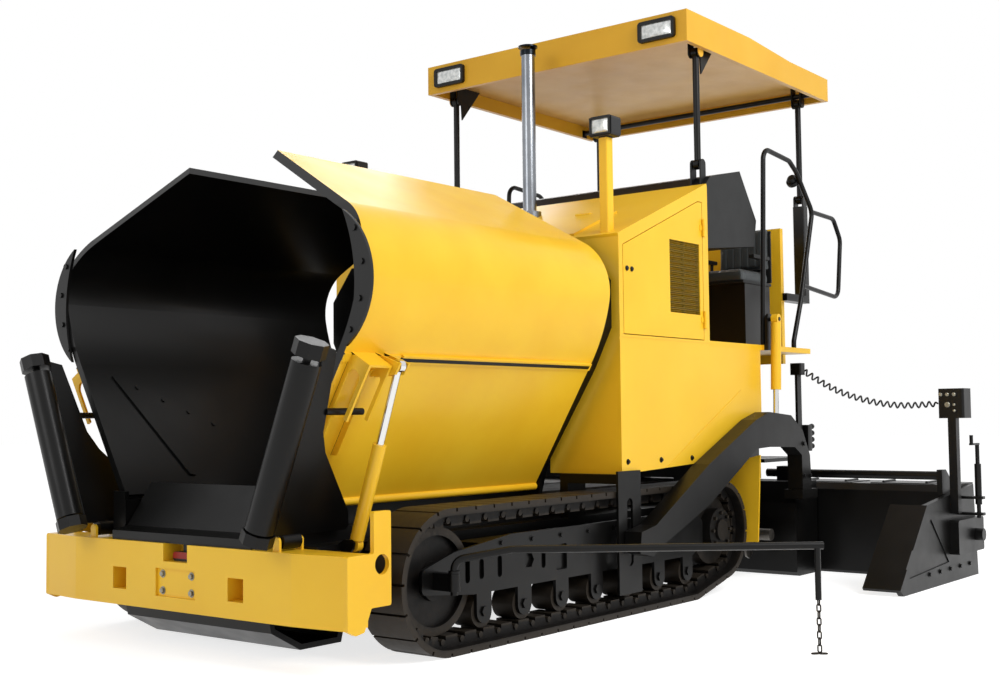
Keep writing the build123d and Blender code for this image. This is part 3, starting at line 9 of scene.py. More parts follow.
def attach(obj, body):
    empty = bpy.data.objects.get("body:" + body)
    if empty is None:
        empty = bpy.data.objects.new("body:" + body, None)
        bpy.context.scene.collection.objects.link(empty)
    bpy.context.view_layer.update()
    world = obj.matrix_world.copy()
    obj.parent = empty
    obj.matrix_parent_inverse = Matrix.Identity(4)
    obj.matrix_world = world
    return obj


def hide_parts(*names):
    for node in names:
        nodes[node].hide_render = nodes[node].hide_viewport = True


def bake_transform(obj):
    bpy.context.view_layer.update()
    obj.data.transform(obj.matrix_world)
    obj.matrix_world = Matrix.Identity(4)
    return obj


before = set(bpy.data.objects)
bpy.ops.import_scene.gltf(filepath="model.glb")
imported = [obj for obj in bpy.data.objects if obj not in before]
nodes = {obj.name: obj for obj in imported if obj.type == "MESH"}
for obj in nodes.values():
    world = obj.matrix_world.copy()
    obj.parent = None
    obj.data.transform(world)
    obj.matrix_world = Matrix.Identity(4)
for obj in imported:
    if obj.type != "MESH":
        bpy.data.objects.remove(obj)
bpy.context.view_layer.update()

# The machine faces +X and its left side is +Y. Everything is in metres, from the ground under its middle.
beamFace = 2.905  # X of the front beam's face


def behind(station):  # X of a place that far behind the front beam's face
    return beamFace - station


# Camera, fitted to the photograph
camera = {"place": (7.3268, 5.6777, 1.2421), "yaw": 218.071, "pitch": 3.229, "roll": -0.63, "lens": 46.853}


def placeCamera():
    yaw, pitch, roll = (math.radians(camera[key]) for key in ("yaw", "pitch", "roll"))
    ahead = Vector((math.cos(yaw) * math.cos(pitch), math.sin(yaw) * math.cos(pitch), math.sin(pitch)))
    level = Vector((math.sin(yaw), -math.cos(yaw), 0))
    up = level.cross(ahead)
    right = math.cos(roll) * level + math.sin(roll) * up
    top = -math.sin(roll) * level + math.cos(roll) * up
    data = bpy.data.cameras.new("camera")
    data.lens, data.sensor_width, data.clip_end = camera["lens"], 36, 200
    made = bpy.data.objects.new("camera", data)
    bpy.context.scene.collection.objects.link(made)
    turn = Matrix((right, top, -ahead)).transposed().to_4x4()
    made.matrix_world = Matrix.Translation(camera["place"]) @ turn
    bpy.context.scene.camera = made


placeCamera()
print("camera placed")


# Small tools for materials and meshes
def linear(code):  # an sRGB hex colour as Blender's linear one
    parts = [int(code[i:i + 2], 16) / 255 for i in (1, 3, 5)]
    return [v / 12.92 if v <= 0.04045 else ((v + 0.055) / 1.055) ** 2.4 for v in parts] + [1]


def perMetre(mm):  # a texture's scale for a feature of that size
    return 1000 / mm


def addNode(tree, kind, links=None, **settings):
    node = tree.nodes.new("ShaderNode" + kind)
    for name, value in settings.items():
        setattr(node, name, value)
    for name, value in (links or {}).items():
        if isinstance(value, bpy.types.NodeSocket):
            tree.links.new(value, node.inputs[name])
        else:
            node.inputs[name].default_value = value
    return node


def newMaterial(name, **shaderValues):
    made = bpy.data.materials.new(name)
    made.use_nodes = True
    shader = made.node_tree.nodes["Principled BSDF"]
    for key, value in shaderValues.items():
        shader.inputs[key.replace("_", " ")].default_value = value
    return made, made.node_tree, shader


def mottled(tree, low, high, mm, detail=4.0):  # two colours that drift into each other
    place = addNode(tree, "TexCoord").outputs["Object"]
    noise = addNode(tree, "TexNoise", {"Vector": place, "Scale": perMetre(mm), "Detail": detail})
    ramp = addNode(tree, "ValToRGB", {"Fac": noise.outputs["Fac"]})
    for stop, share, code in zip(ramp.color_ramp.elements, (0.3, 0.7), (low, high)):
        stop.position, stop.color = share, linear(code)
    return ramp.outputs["Color"]


def bumped(tree, shader, mm, depthMm, detail=2.0):  # fine relief over the whole surface
    place = addNode(tree, "TexCoord").outputs["Object"]
    noise = addNode(tree, "TexNoise", {"Vector": place, "Scale": perMetre(mm), "Detail": detail})
    depth = depthMm / 1000
    bump = addNode(tree, "Bump", {"Height": noise.outputs["Fac"], "Distance": depth, "Strength": 1.0})
    tree.links.new(bump.outputs["Normal"], shader.inputs["Normal"])


def roughened(tree, shader, low, high, mm):  # gloss that varies, as on a handled surface
    place = addNode(tree, "TexCoord").outputs["Object"]
    noise = addNode(tree, "TexNoise", {"Vector": place, "Scale": perMetre(mm), "Detail": 6.0})
    spread = addNode(tree, "MapRange", {"Value": noise.outputs["Fac"], "To Min": low, "To Max": high})
    tree.links.new(spread.outputs["Result"], shader.inputs["Roughness"])


# Finishes
yellowTones = ("#EFB920", "#F5C52B")
blackTones = ("#040404", "#0B0A09")


def combined(tree, operation, masks):  # several masks as one, joined one after another
    total = masks[0]
    for mask in masks[1:]:
        total = addNode(tree, "Math", {0: total, 1: mask}, operation=operation).outputs[0]
    return total


def insideBoxes(tree, boxes):  # 1 inside any of the boxes, each given by a low and a high corner
    place = addNode(tree, "TexCoord")
    shares = []
    for low, high in boxes:
        middle = [(a + b) / 2 for a, b in zip(low, high)]
        away = addNode(tree, "VectorMath", {0: place.outputs["Object"], 1: middle}, operation="SUBTRACT")
        size = addNode(tree, "VectorMath", {0: away.outputs[0]}, operation="ABSOLUTE")
        parts = addNode(tree, "SeparateXYZ", {"Vector": size.outputs[0]})
        near = []
        for axis, a, b in zip("XYZ", low, high):
            within = addNode(tree, "Math", {0: parts.outputs[axis], 1: (b - a) / 2}, operation="LESS_THAN")
            near.append(within.outputs[0])
        shares.append(combined(tree, "MULTIPLY", near))
    return combined(tree, "MAXIMUM", shares)


def boxPair(rear, front, y, half, low, high):  # a box on each side, from stations, its middle Y and heights
    return [((behind(rear), middle - half, low), (behind(front), middle + half, high)) for middle in (y, -y)]


def painted(tree, shader, mask, outside, inside):  # one coat where the mask is 0, another where it is 1
    colour = addNode(tree, "Mix", {"Factor": mask}, data_type="RGBA")
    tree.links.new(mottled(tree, *outside, 700), colour.inputs[6])
    tree.links.new(mottled(tree, *inside, 420), colour.inputs[7])
    tree.links.new(colour.outputs[2], shader.inputs["Base Color"])


def yellowEnamel():
    # two-pack enamel sprayed on steel plate: warm yellow, glossy, with a faint orange peel
    made, tree, shader = newMaterial("yellowEnamel", Coat_Weight=0.12, Coat_Roughness=0.2,
                                     Specular_IOR_Level=0.35)
    tree.links.new(mottled(tree, *yellowTones, 900), shader.inputs["Base Color"])
    roughened(tree, shader, 0.3, 0.44, 260)
    bumped(tree, shader, 9, 0.05)  # the peel is about 2 mm, drawn coarser so that it shows
    return made


def blackEnamel():
    # the same enamel in black over forgings and frames: near black, with a thin film of dust
    made, tree, shader = newMaterial("blackEnamel", Coat_Weight=0.05, Coat_Roughness=0.15,
                                     Specular_IOR_Level=0.2)
    tree.links.new(mottled(tree, *blackTones, 380, 8.0), shader.inputs["Base Color"])
    roughened(tree, shader, 0.26, 0.46, 140)
    bumped(tree, shader, 7, 0.06)
    return made


def twoCoatEnamel(name, outside, inside, boxes):
    # a welded group sprayed in two colours, masked off at its joints: the second coat is in the boxes, and on
    # the engine doors the second coat is painted shade
    made, tree, shader = newMaterial(name, Coat_Weight=0.08, Coat_Roughness=0.2, Specular_IOR_Level=0.3)
    painted(tree, shader, insideBoxes(tree, boxes), outside, inside)
    roughened(tree, shader, 0.3, 0.46, 200)
    bumped(tree, shader, 8, 0.05)
    return made


wingPlane = {
    "hingeY": 0.67, "hingeZ": 0.80, "along": (0.5075, 0.8616),  # Y and Z of one step up the plate
    "front": 0.1465, "bracketTop": 1.56,  # station of the front edge, and Z of the brackets' tops
    "outward": 0.12, "proud": 0.002, "skin": -0.02,  # limits of the facing and of the distance from the plate
}


def wingEnamel(side):
    # yellow enamel outside, black inside and on the front edge, masked along the plate's edges
    made, tree, shader = newMaterial("wingEnamel", Coat_Weight=0.1, Coat_Roughness=0.16,
                                     Specular_IOR_Level=0.3)
    alongY, alongZ = wingPlane["along"]
    place = addNode(tree, "TexCoord")
    spot = addNode(tree, "SeparateXYZ", {"Vector": place.outputs["Object"]})
    hinge = (0, side * wingPlane["hingeY"], wingPlane["hingeZ"])
    fromHinge = addNode(tree, "VectorMath", {0: place.outputs["Object"], 1: hinge}, operation="SUBTRACT")
    off = addNode(tree, "VectorMath", {0: fromHinge.outputs[0], 1: (0, side * alongZ, -alongY)},
                  operation="DOT_PRODUCT").outputs["Value"]  # distance out from the plate
    facing = addNode(tree, "VectorMath", {0: place.outputs["Normal"], 1: (0, side, 0)},
                     operation="DOT_PRODUCT").outputs["Value"]
    tests = (
        (facing, "GREATER_THAN", wingPlane["outward"]), (off, "GREATER_THAN", wingPlane["proud"]),
        (off, "GREATER_THAN", wingPlane["skin"]), (spot.outputs["Z"], "LESS_THAN", wingPlane["bracketTop"]),
        (spot.outputs["X"], "LESS_THAN", behind(wingPlane["front"])))
    outside, proud, near, low, rear = [
        addNode(tree, "Math", {0: value, 1: limit}, operation=operation).outputs[0]
        for value, operation, limit in tests]
    bracket = combined(tree, "MULTIPLY", (proud, low))  # the brackets and the hinge's hem
    skin = combined(tree, "MAXIMUM", (near, combined(tree, "SUBTRACT", (1.0, low))))
    shell = combined(tree, "MULTIPLY", (outside, skin))  # not the flaps on the inner face
    yellow = combined(tree, "MULTIPLY", (combined(tree, "MAXIMUM", (shell, bracket)), rear))
    painted(tree, shader, yellow, blackTones, yellowTones)
    roughened(tree, shader, 0.28, 0.42, 240)
    bumped(tree, shader, 9, 0.05)
    return made


canopyFittings = [  # the cross bar, lamp housings, brackets and post heads under the roof
    ((behind(5.672), -1.164, 3.80), (behind(5.60), 1.164, 3.9296)),
    *boxPair(3.4495, 3.40, 0.96, 0.16, 3.895, 4.055),
    *boxPair(4.04, 3.66, 1.1145, 0.0445, 3.69, 3.9696),
    *boxPair(5.69, 5.59, 1.00, 0.06, 3.69, 3.9696),
]


def gelCoat():
    # glass fibre canopy: yellow gel coat outside, the bare tan laminate underneath
    made, tree, shader = newMaterial("gelCoat", Coat_Weight=0.05, Coat_Roughness=0.3, Specular_IOR_Level=0.25)
    place = addNode(tree, "TexCoord")
    facing = addNode(tree, "SeparateXYZ", {"Vector": place.outputs["Normal"]})
    below = addNode(tree, "Math", {0: facing.outputs["Z"], 1: -0.6}, operation="LESS_THAN")
    shell = addNode(tree, "Mix", {"Factor": below.outputs[0]}, data_type="RGBA")
    tree.links.new(mottled(tree, "#DDA527", "#E6B232", 700), shell.inputs[6])
    tree.links.new(mottled(tree, "#D6A656", "#E3B86C", 260), shell.inputs[7])
    colour = addNode(tree, "Mix", {"Factor": insideBoxes(tree, canopyFittings)}, data_type="RGBA")
    tree.links.new(shell.outputs[2], colour.inputs[6])
    tree.links.new(mottled(tree, *blackTones, 300), colour.inputs[7])
    tree.links.new(colour.outputs[2], shader.inputs["Base Color"])
    roughened(tree, shader, 0.3, 0.5, 200)
    bumped(tree, shader, 24, 0.2)  # the laminate's print-through
    return made


def shoeIron():
    # forged track shoes and links: dark scale, dry earth in the hollows, edges rubbed bright
    made, tree, shader = newMaterial("shoeIron", Metallic=0.35, Specular_IOR_Level=0.3)
    sharp = addNode(tree, "NewGeometry").outputs["Pointiness"]
    edge = addNode(tree, "MapRange", {"Value": sharp, "From Min": 0.52, "From Max": 0.6})
    colour = addNode(tree, "Mix", {"Factor": edge.outputs["Result"]}, data_type="RGBA")
    tree.links.new(mottled(tree, "#070605", "#15110E", 60, 8.0), colour.inputs[6])
    colour.inputs[7].default_value = linear("#2C261F")
    tree.links.new(colour.outputs[2], shader.inputs["Base Color"])
    roughened(tree, shader, 0.42, 0.62, 40)
    bumped(tree, shader, 12, 0.4, 6.0)
    return made


def chromedSteel():
    # hard chrome on a ground rod: a clear, slightly blurred mirror
    made, tree, shader = newMaterial("chromedSteel", Metallic=1.0, Base_Color=linear("#D8D8D6"))
    roughened(tree, shader, 0.06, 0.14, 60)
    return made


pipeCap = ((behind(3.30), -0.1, 3.912), (behind(3.10), 0.1, 4.0))  # the dark rain cap and its clamp


def stainlessPipe():
    # drawn stainless tube: bright grey with fine lines along it
    made, tree, shader = newMaterial("stainlessPipe", Metallic=1.0)
    colour = addNode(tree, "Mix", {"Factor": insideBoxes(tree, [pipeCap])}, data_type="RGBA")
    tree.links.new(mottled(tree, "#70747A", "#92959A", 300), colour.inputs[6])
    tree.links.new(mottled(tree, "#14171A", "#22262A", 60), colour.inputs[7])
    tree.links.new(colour.outputs[2], shader.inputs["Base Color"])
    place = addNode(tree, "TexCoord").outputs["Object"]
    drawn = addNode(tree, "Mapping", {"Vector": place, "Scale": (1, 1, 0.02)}).outputs["Vector"]
    noise = addNode(tree, "TexNoise", {"Vector": drawn, "Scale": perMetre(6), "Detail": 3.0})
    spread = addNode(tree, "MapRange", {"Value": noise.outputs["Fac"], "To Min": 0.16, "To Max": 0.3})
    tree.links.new(spread.outputs["Result"], shader.inputs["Roughness"])
    return made


def wornSteel():
    # conveyor bars, auger flights and treads: rolled steel polished by stone and boots, grey-brown between
    made, tree, shader = newMaterial("wornSteel", Metallic=0.8)
    tree.links.new(mottled(tree, "#2A2622", "#6E6A64", 90, 8.0), shader.inputs["Base Color"])
    roughened(tree, shader, 0.3, 0.55, 50)
    bumped(tree, shader, 10, 0.2, 5.0)
    return made


def grainedPlastic():
    # moulded ABS console and lamp shells: charcoal with a fine leather grain
    made, tree, shader = newMaterial("grainedPlastic", IOR=1.5, Specular_IOR_Level=0.3)
    tree.links.new(mottled(tree, "#0B0C0C", "#131414", 200), shader.inputs["Base Color"])
    roughened(tree, shader, 0.4, 0.52, 120)
    bumped(tree, shader, 4, 0.12)  # the grain is 1 mm, drawn coarser so that it shows
    return made


def seatVinyl():
    # foam-backed vinyl on the seats: dull dark grey with a soft sheen in its folds
    made, tree, shader = newMaterial("seatVinyl", IOR=1.5, Sheen_Weight=0.15)
    tree.links.new(mottled(tree, "#23282A", "#2F3536", 110), shader.inputs["Base Color"])
    roughened(tree, shader, 0.42, 0.58, 60)
    bumped(tree, shader, 5, 0.2)
    return made


def cordPolyurethane():
    # the curly cord's sheath: black, smooth and a little glossy
    made, tree, shader = newMaterial("cordPolyurethane", IOR=1.5)
    tree.links.new(mottled(tree, "#0B0B0C", "#131314", 30), shader.inputs["Base Color"])
    roughened(tree, shader, 0.28, 0.4, 20)
    return made


def lampGlass():
    # pressed glass over a silvered bowl: bright grey, sharp highlights
    made, tree, shader = newMaterial("lampGlass", Metallic=0.55, Coat_Weight=0.8, Coat_Roughness=0.03)
    tree.links.new(mottled(tree, "#AEB2B2", "#E6E8E6", 26), shader.inputs["Base Color"])
    roughened(tree, shader, 0.12, 0.3, 18)
    return made


def zincPlate():
    # zinc-plated bolts, knobs, dial rims and levers: pale grey with a dull, slightly yellow bloom
    made, tree, shader = newMaterial("zincPlate", Metallic=0.9)
    tree.links.new(mottled(tree, "#77756C", "#A5A294", 12), shader.inputs["Base Color"])
    roughened(tree, shader, 0.28, 0.5, 9)
    bumped(tree, shader, 5, 0.08)
    return made


def dialFace():
    # printed dial under glass: a dark face with a sharp gloss and no scale
    made, tree, shader = newMaterial("dialFace", Coat_Weight=1.0, Coat_Roughness=0.02)
    tree.links.new(mottled(tree, "#0E1012", "#1B1E20", 8), shader.inputs["Base Color"])
    roughened(tree, shader, 0.3, 0.5, 20)
    return made


coatBoxes = {  # where the second coat is; on the doors it is painted shade
    "platform": [((behind(5.26), -1.26, 1.714), (behind(3.59), 1.26, 1.766)),  # the floor plate
                 ((behind(5.305), -1.01, 1.64), (behind(5.24), 1.01, 2.76))],  # the rear panel
    "mast": boxPair(2.60, 2.44, 1.12, 0.12, 3.025, 3.17),  # the lamp housings
    "hook": [((behind(0.13), -0.08, 0.505), (behind(0.04), 0.08, 0.540))],  # the band on its pin
    "auger": [((behind(4.172), -1.4, 0.2), (behind(4.1), 1.4, 1.05))],  # the plate in front
    "door": boxPair(3.479, 3.071, 1.228, 0.0142, 1.926, 2.424),  # the slats and the plate behind the screen, dark brown as painted shade: the dark seen through the screen's holes
}
yellow, black, iron = yellowEnamel(), blackEnamel(), shoeIron()
glass, zinc, dial = lampGlass(), zincPlate(), dialFace()
platformCoat = twoCoatEnamel("platformEnamel", blackTones, yellowTones, coatBoxes["platform"])
mastCoat = twoCoatEnamel("mastEnamel", yellowTones, ("#101112", "#191A1B"), coatBoxes["mast"])
hookCoat = twoCoatEnamel("hookEnamel", blackTones, ("#7E1712", "#9A221B"), coatBoxes["hook"])
augerCoat = twoCoatEnamel("augerFrameEnamel", blackTones, yellowTones, coatBoxes["auger"])
# the doors' second coat is painted shade, the dark behind the screen's holes, not a paint of their own
doorCoatAndShade = twoCoatEnamel("doorEnamelAndShade", yellowTones, ("#15110A", "#1E1810"), coatBoxes["door"])
chrome, stainless, worn = chromedSteel(), stainlessPipe(), wornSteel()
plastic, vinyl, sheath, canopyCoat = grainedPlastic(), seatVinyl(), cordPolyurethane(), gelCoat()
wingCoat = {"left": wingEnamel(1), "right": wingEnamel(-1)}
print("finishes made")

finishOf = {
    "front_beam": yellow, "tow_hook": hookCoat, "chassis": black, "belly_plate": black,
    "track": iron, "track_frames": black, "track_wheels": iron,
    "hopper_base": black, "conveyors": worn, "hopper_apron": black, "hopper_bulkhead": black,
    "wing": wingCoat, "wing_barrel": yellow, "wing_rod": chrome, "guard_arm": black, "guard_roller": black,
    "body_panels": yellow, "hood": yellow, "hood_lid": yellow, "engine_door": doorCoatAndShade, "engine_block": black,
    "exhaust": stainless, "light_masts": mastCoat, "platform": platformCoat, "console": plastic,
    "seats": vinyl, "handrails": black,
    "canopy_roof": canopyCoat, "canopy_front_posts": black, "canopy_rear_posts": black,
    "tow_arms": black, "lift_barrels": yellow, "lift_rods": chrome,
    "screed_body": black, "screed_walkway": black, "screed_extension": black, "end_gate": black,
    "auger": worn, "auger_frame": augerCoat, "guide_rod": black,
}


def paintNodes():
    for name, node in nodes.items():
        base, _, side = name.rpartition("_")
        finish = finishOf.get(name) or finishOf.get(base)
        if isinstance(finish, dict):
            finish = finish[side]
        if finish:
            node.data.materials.clear()
            node.data.materials.append(finish)


paintNodes()
print("nodes painted")

# Curly cord from the socket on the tow arm to the control box
curlyCord = {
    "route": [(4.860, 1.340, 1.585), (4.905, 1.452, 1.500), (4.965, 1.600, 1.405), (5.040, 1.790, 1.335),
              (5.110, 1.965, 1.300), (5.170, 2.115, 1.298), (5.215, 2.262, 1.310)],  # station, Y, Z
    "wire": 0.014, "across": 0.054, "pitch": 0.050, "perTurn": 14, "around": 10,
    "opens": 8,  # points over which the helix opens at each end
}


def smoothLine(name, points, resolution=24):  # points read from the route's NURBS spline
    data = bpy.data.curves.new(name, "CURVE")
    data.dimensions, data.resolution_u = "3D", resolution
    spline = data.splines.new("NURBS")
    spline.points.add(len(points) - 1)
    for point, place in zip(spline.points, points):
        point.co = (*place, 1)
    spline.order_u, spline.use_endpoint_u = 3, True
    holder = bpy.data.objects.new(name, data)
    mesh = bpy.data.meshes.new_from_object(holder)
    line = [v.co.copy() for v in mesh.vertices]
    bpy.data.objects.remove(holder)
    bpy.data.curves.remove(data)
    bpy.data.meshes.remove(mesh)
    return line


def lengthOf(line):
    return sum((b - a).length for a, b in zip(line, line[1:]))


def spacedFrames(line, count):  # evenly spaced places on a line, each with its direction and one steady side
    total, frames = lengthOf(line), []
    side = None
    for number in range(count):
        left = total * number / (count - 1)
        for a, b in zip(line, line[1:]):
            step = (b - a).length
            if left <= step or b is line[-1]:
                break
            left -= step
        along = (b - a).normalized()
        if side is None:
            side = along.cross(Vector((0, 0, 1))).normalized()
        side = (side - along * side.dot(along)).normalized()
        frames.append((a + along * left, along, side))
    return frames


def ringAt(bm, middle, side, up, radius, around):  # a ring of points round a place
    turns = (2 * math.pi * k / around for k in range(around))
    return [bm.verts.new(middle + radius * (math.cos(turn) * side + math.sin(turn) * up)) for turn in turns]


def addWalls(bm, rings):  # faces from each ring to the next
    for first, second in zip(rings, rings[1:]):
        for k in range(len(first)):
            after = (k + 1) % len(first)
            bm.faces.new((first[k], first[after], second[after], second[k]))


def addSolid(bm, rings):  # walls from ring to ring, and a cap on each end
    addWalls(bm, rings)
    bm.faces.new(rings[0][::-1])
    bm.faces.new(rings[-1])


def sweepTube(bm, line, radius, around):  # a round tube through the points
    addSolid(bm, [ringAt(bm, place, side, along.cross(side), radius, around)
                  for place, along, side in spacedFrames(line, len(line))])


def asPiece(name, bm, finish, smooth=35):  # a mesh object from bmesh, with sharp edges kept sharp
    bmesh.ops.recalc_face_normals(bm, faces=bm.faces)
    data = bpy.data.meshes.new(name)
    bm.to_mesh(data)
    bm.free()
    data.materials.append(finish)
    data.shade_smooth()
    data.set_sharp_from_angle(angle=math.radians(smooth))
    made = bpy.data.objects.new(name, data)
    bpy.context.scene.collection.objects.link(made)
    return made


def makeCurlyCord():
    route = [(behind(station), y, z) for station, y, z in curlyCord["route"]]
    line = smoothLine("cordRoute", route)
    radius = (curlyCord["across"] - curlyCord["wire"]) / 2
    count = round(lengthOf(line) / curlyCord["pitch"]) * curlyCord["perTurn"]
    helix = []
    for number, (place, along, side) in enumerate(spacedFrames(line, count + 1)):
        turn = 2 * math.pi * number / curlyCord["perTurn"]
        reach = radius * min(1, number / curlyCord["opens"], (count - number) / curlyCord["opens"])
        up = along.cross(side)
        helix.append(place + reach * (math.cos(turn) * side + math.sin(turn) * up))
    bm = bmesh.new()
    sweepTube(bm, helix, curlyCord["wire"] / 2, curlyCord["around"])
    cord = asPiece("curlyCord", bm, sheath, 60)
    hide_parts("curly_cord_left")
    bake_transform(cord)


makeCurlyCord()
print("curly cord made")


# Tools for the fittings
def addBox(bm, middle, reach, edge, turn=Matrix.Identity(4)):  # a bevelled box from its middle and size
    shape = Matrix.Translation(middle) @ turn @ Matrix.Diagonal((*reach, 1))
    made = bmesh.ops.create_cube(bm, size=1.0, matrix=shape)
    edges = dict.fromkeys(line for point in made["verts"] for line in point.link_edges)
    bmesh.ops.bevel(bm, geom=list(edges), offset=edge, segments=2, profile=0.7, affect="EDGES")


def addBar(bm, start, end, radius, around=20, edge=0.0):  # a round bar or disc, its ends chamfered by edge
    start, end = Vector(start), Vector(end)
    along = (end - start).normalized()
    side = along.orthogonal().normalized()
    up = along.cross(side)
    stops = [(start, radius), (end, radius)]
    if edge:
        stops = [(start, radius - edge), (start + along * edge, radius),
                 (end - along * edge, radius), (end, radius - edge)]
    addSolid(bm, [ringAt(bm, middle, side, up, reach, around) for middle, reach in stops])


bolt = {
    "washerWide": 0.85, "head": 0.45, "headWide": 0.58, "headEdge": 0.06,  # shares of the bolt's width
    "washer": 0.003, "washerEdge": 0.0008, "lift": 0.0004, "aside": 0.02,  # metres
}


def addBolt(bm, place, facing, across):  # a hexagon head on its washer
    place, facing = Vector(place), Vector(facing).normalized()
    under = place + facing * bolt["washer"]
    addBar(bm, place, under, across * bolt["washerWide"], 20, bolt["washerEdge"])
    top = under + facing * across * bolt["head"]
    addBar(bm, under, top, across * bolt["headWide"], 6, across * bolt["headEdge"])


def finished(piece, body):
    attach(piece, body)
    return piece


sides = (("left", 1), ("right", -1))


def eachSide(make):
    for label, side in sides:
        make(label, side)


# Perforated screens in the engine doors, with their locks
doorScreen = {
    "station": 3.275, "z": 2.175, "width": 0.396, "rise": 0.486, "pitch": 0.0124, "bridge": 0.0033,
    "thick": 0.0015, "out": 1.2434, "lockEdge": 0.002,
    "locks": [(2.541, 2.179), (2.599, 2.178)], "lockOut": 1.2495,  # stations and heights, on the door's face
    "lockRounds": [(0.008, 0.0165), (0.013, 0.011)],  # how far each stands out, and its radius
}


def makeDoorScreen(label, side):
    count = [round(doorScreen[key] / doorScreen["pitch"]) for key in ("width", "rise")]
    bm = bmesh.new()
    bmesh.ops.create_grid(bm, x_segments=count[0], y_segments=count[1], size=0.5)
    for point in bm.verts:
        x, y = point.co.x * doorScreen["width"], point.co.y * doorScreen["rise"]
        point.co = (behind(doorScreen["station"]) + x, side * doorScreen["out"], doorScreen["z"] + y)
    cells = bm.faces[:]
    bmesh.ops.inset_individual(bm, faces=cells, thickness=doorScreen["bridge"], use_even_offset=True)
    bmesh.ops.delete(bm, geom=cells, context="FACES")
    bmesh.ops.solidify(bm, geom=bm.faces[:], thickness=doorScreen["thick"])
    finished(asPiece(f"doorScreen_{label}", bm, yellow), f"engine_door_{label}")
    bm = bmesh.new()
    for station, z in doorScreen["locks"]:
        place = Vector((behind(station), side * doorScreen["lockOut"], z))
        for out, radius in doorScreen["lockRounds"]:
            addBar(bm, place, place + Vector((0, side * out, 0)), radius, 24, doorScreen["lockEdge"])
    finished(asPiece(f"doorLocks_{label}", bm, plastic), f"engine_door_{label}")


eachSide(makeDoorScreen)
print("door screens made")

# Lenses: one across each canopy lamp and each mast lamp, in a rim
lenses = {
    "canopyLens": {"body": "canopy_roof", "station": 3.432, "z": 3.975, "y": 0.963, "size": (0.262, 0.112),
                   "bulge": 0.012},
    "mastLens": {"body": "tractor", "station": 2.458, "z": 3.096, "y": 1.12, "size": (0.142, 0.104),
                 "bulge": 0.010},
}
lensRim = {"deep": 0.016, "wide": 0.012, "out": 0.004, "edge": 0.003}
lensCells = (28, 12)  # across and up


def makeLens(name, label, side):
    lens = lenses[name]
    front, y, z = behind(lens["station"]), side * lens["y"], lens["z"]
    across, up = lens["size"]
    bm = bmesh.new()
    bmesh.ops.create_grid(bm, x_segments=lensCells[0], y_segments=lensCells[1], size=0.5)
    for point in bm.verts:
        u, v = point.co.x, point.co.y
        crown = lens["bulge"] * (1 - (2 * u) ** 4) * (1 - (2 * v) ** 4)
        point.co = (front + crown, y + u * across, z + v * up)
    finished(asPiece(f"{name}_{label}", bm, glass, 60), lens["body"])
    bm = bmesh.new()
    deep, wide, edge = lensRim["deep"], lensRim["wide"], lensRim["edge"]
    for end in (0.5, -0.5):
        addBox(bm, (front + lensRim["out"], y, z + end * up), (deep, across + deep, wide), edge)
        addBox(bm, (front + lensRim["out"], y + end * across, z), (deep, wide, up), edge)
    finished(asPiece(f"{name}Rim_{label}", bm, plastic), lens["body"])


for name in lenses:
    for label, side in sides:
        makeLens(name, label, side)
print("lamp lenses made")

# Lip along the fold of each wing's outer face, with a black strip under it as painted shade: the shadow in
# the groove below the lip
foldLip = {"front": 0.56, "rear": 2.29, "y": 1.123, "z": 1.569, "lean": 30.5, "edge": 0.003,
           "Lip": (0.022, 0.014, 0.0), "PaintedShade": (0.012, 0.026, 0.020)}  # out, height, and drop down the plate


def makeFoldLip(label, side):
    length = foldLip["rear"] - foldLip["front"]
    middle = behind((foldLip["rear"] + foldLip["front"]) / 2)
    tilt = Matrix.Rotation(side * -math.radians(foldLip["lean"]), 4, "X")
    # the black strip under the lip is painted shade, standing in for the groove's shadow
    for key, finish, slot in (("Lip", yellow, "yellow_paint"), ("PaintedShade", black, "black_paint")):
        out, tall, drop = foldLip[key]
        y, z = (foldLip[axis] - drop * share for axis, share in zip("yz", wingPlane["along"]))
        bm = bmesh.new()
        addBox(bm, (middle, side * y, z), (length, out * 2, tall), foldLip["edge"], tilt)
        finished(asPiece(f"fold{key}_{label}", bm, finish), f"wing_{label}")


eachSide(makeFoldLip)
print("wing lips made")

# Steering guide rods: the bent tube and its sleeve, with a link chain that reaches the ground
guideChain = {
    "station": 1.950, "y": 2.766, "top": 0.272, "radius": 0.0042, "length": 0.044, "width": 0.025,
    "pitch": 0.0345, "hanging": 8, "points": 16, "around": 8, "tubeEnd": 0.27, "floor": 0.0048,
    "lying": [((-0.012, 0.014), (-0.5, 0.86)), ((0.010, -0.020), (0.8, -0.6))],  # place and direction
}


def addLink(bm, middle, along, side):  # one welded link: two straights and two half rounds
    count = guideChain["points"]
    half = (guideChain["length"] - guideChain["width"]) / 2
    reach = (guideChain["width"] - guideChain["radius"]) / 2
    path = []
    for k in range(count):
        turn = 2 * math.pi * (k + 0.5) / count
        shift = half if math.cos(turn) > 0 else -half
        path.append(Vector(middle) + along * (shift + reach * math.cos(turn)) + side * reach * math.sin(turn))
    off = along.cross(side)
    rings = []
    for k, place in enumerate(path):
        run = (path[(k + 1) % count] - path[k - 1]).normalized()
        out = run.cross(off).normalized()
        rings.append(ringAt(bm, place, out, off, guideChain["radius"], guideChain["around"]))
    addWalls(bm, rings + rings[:1])


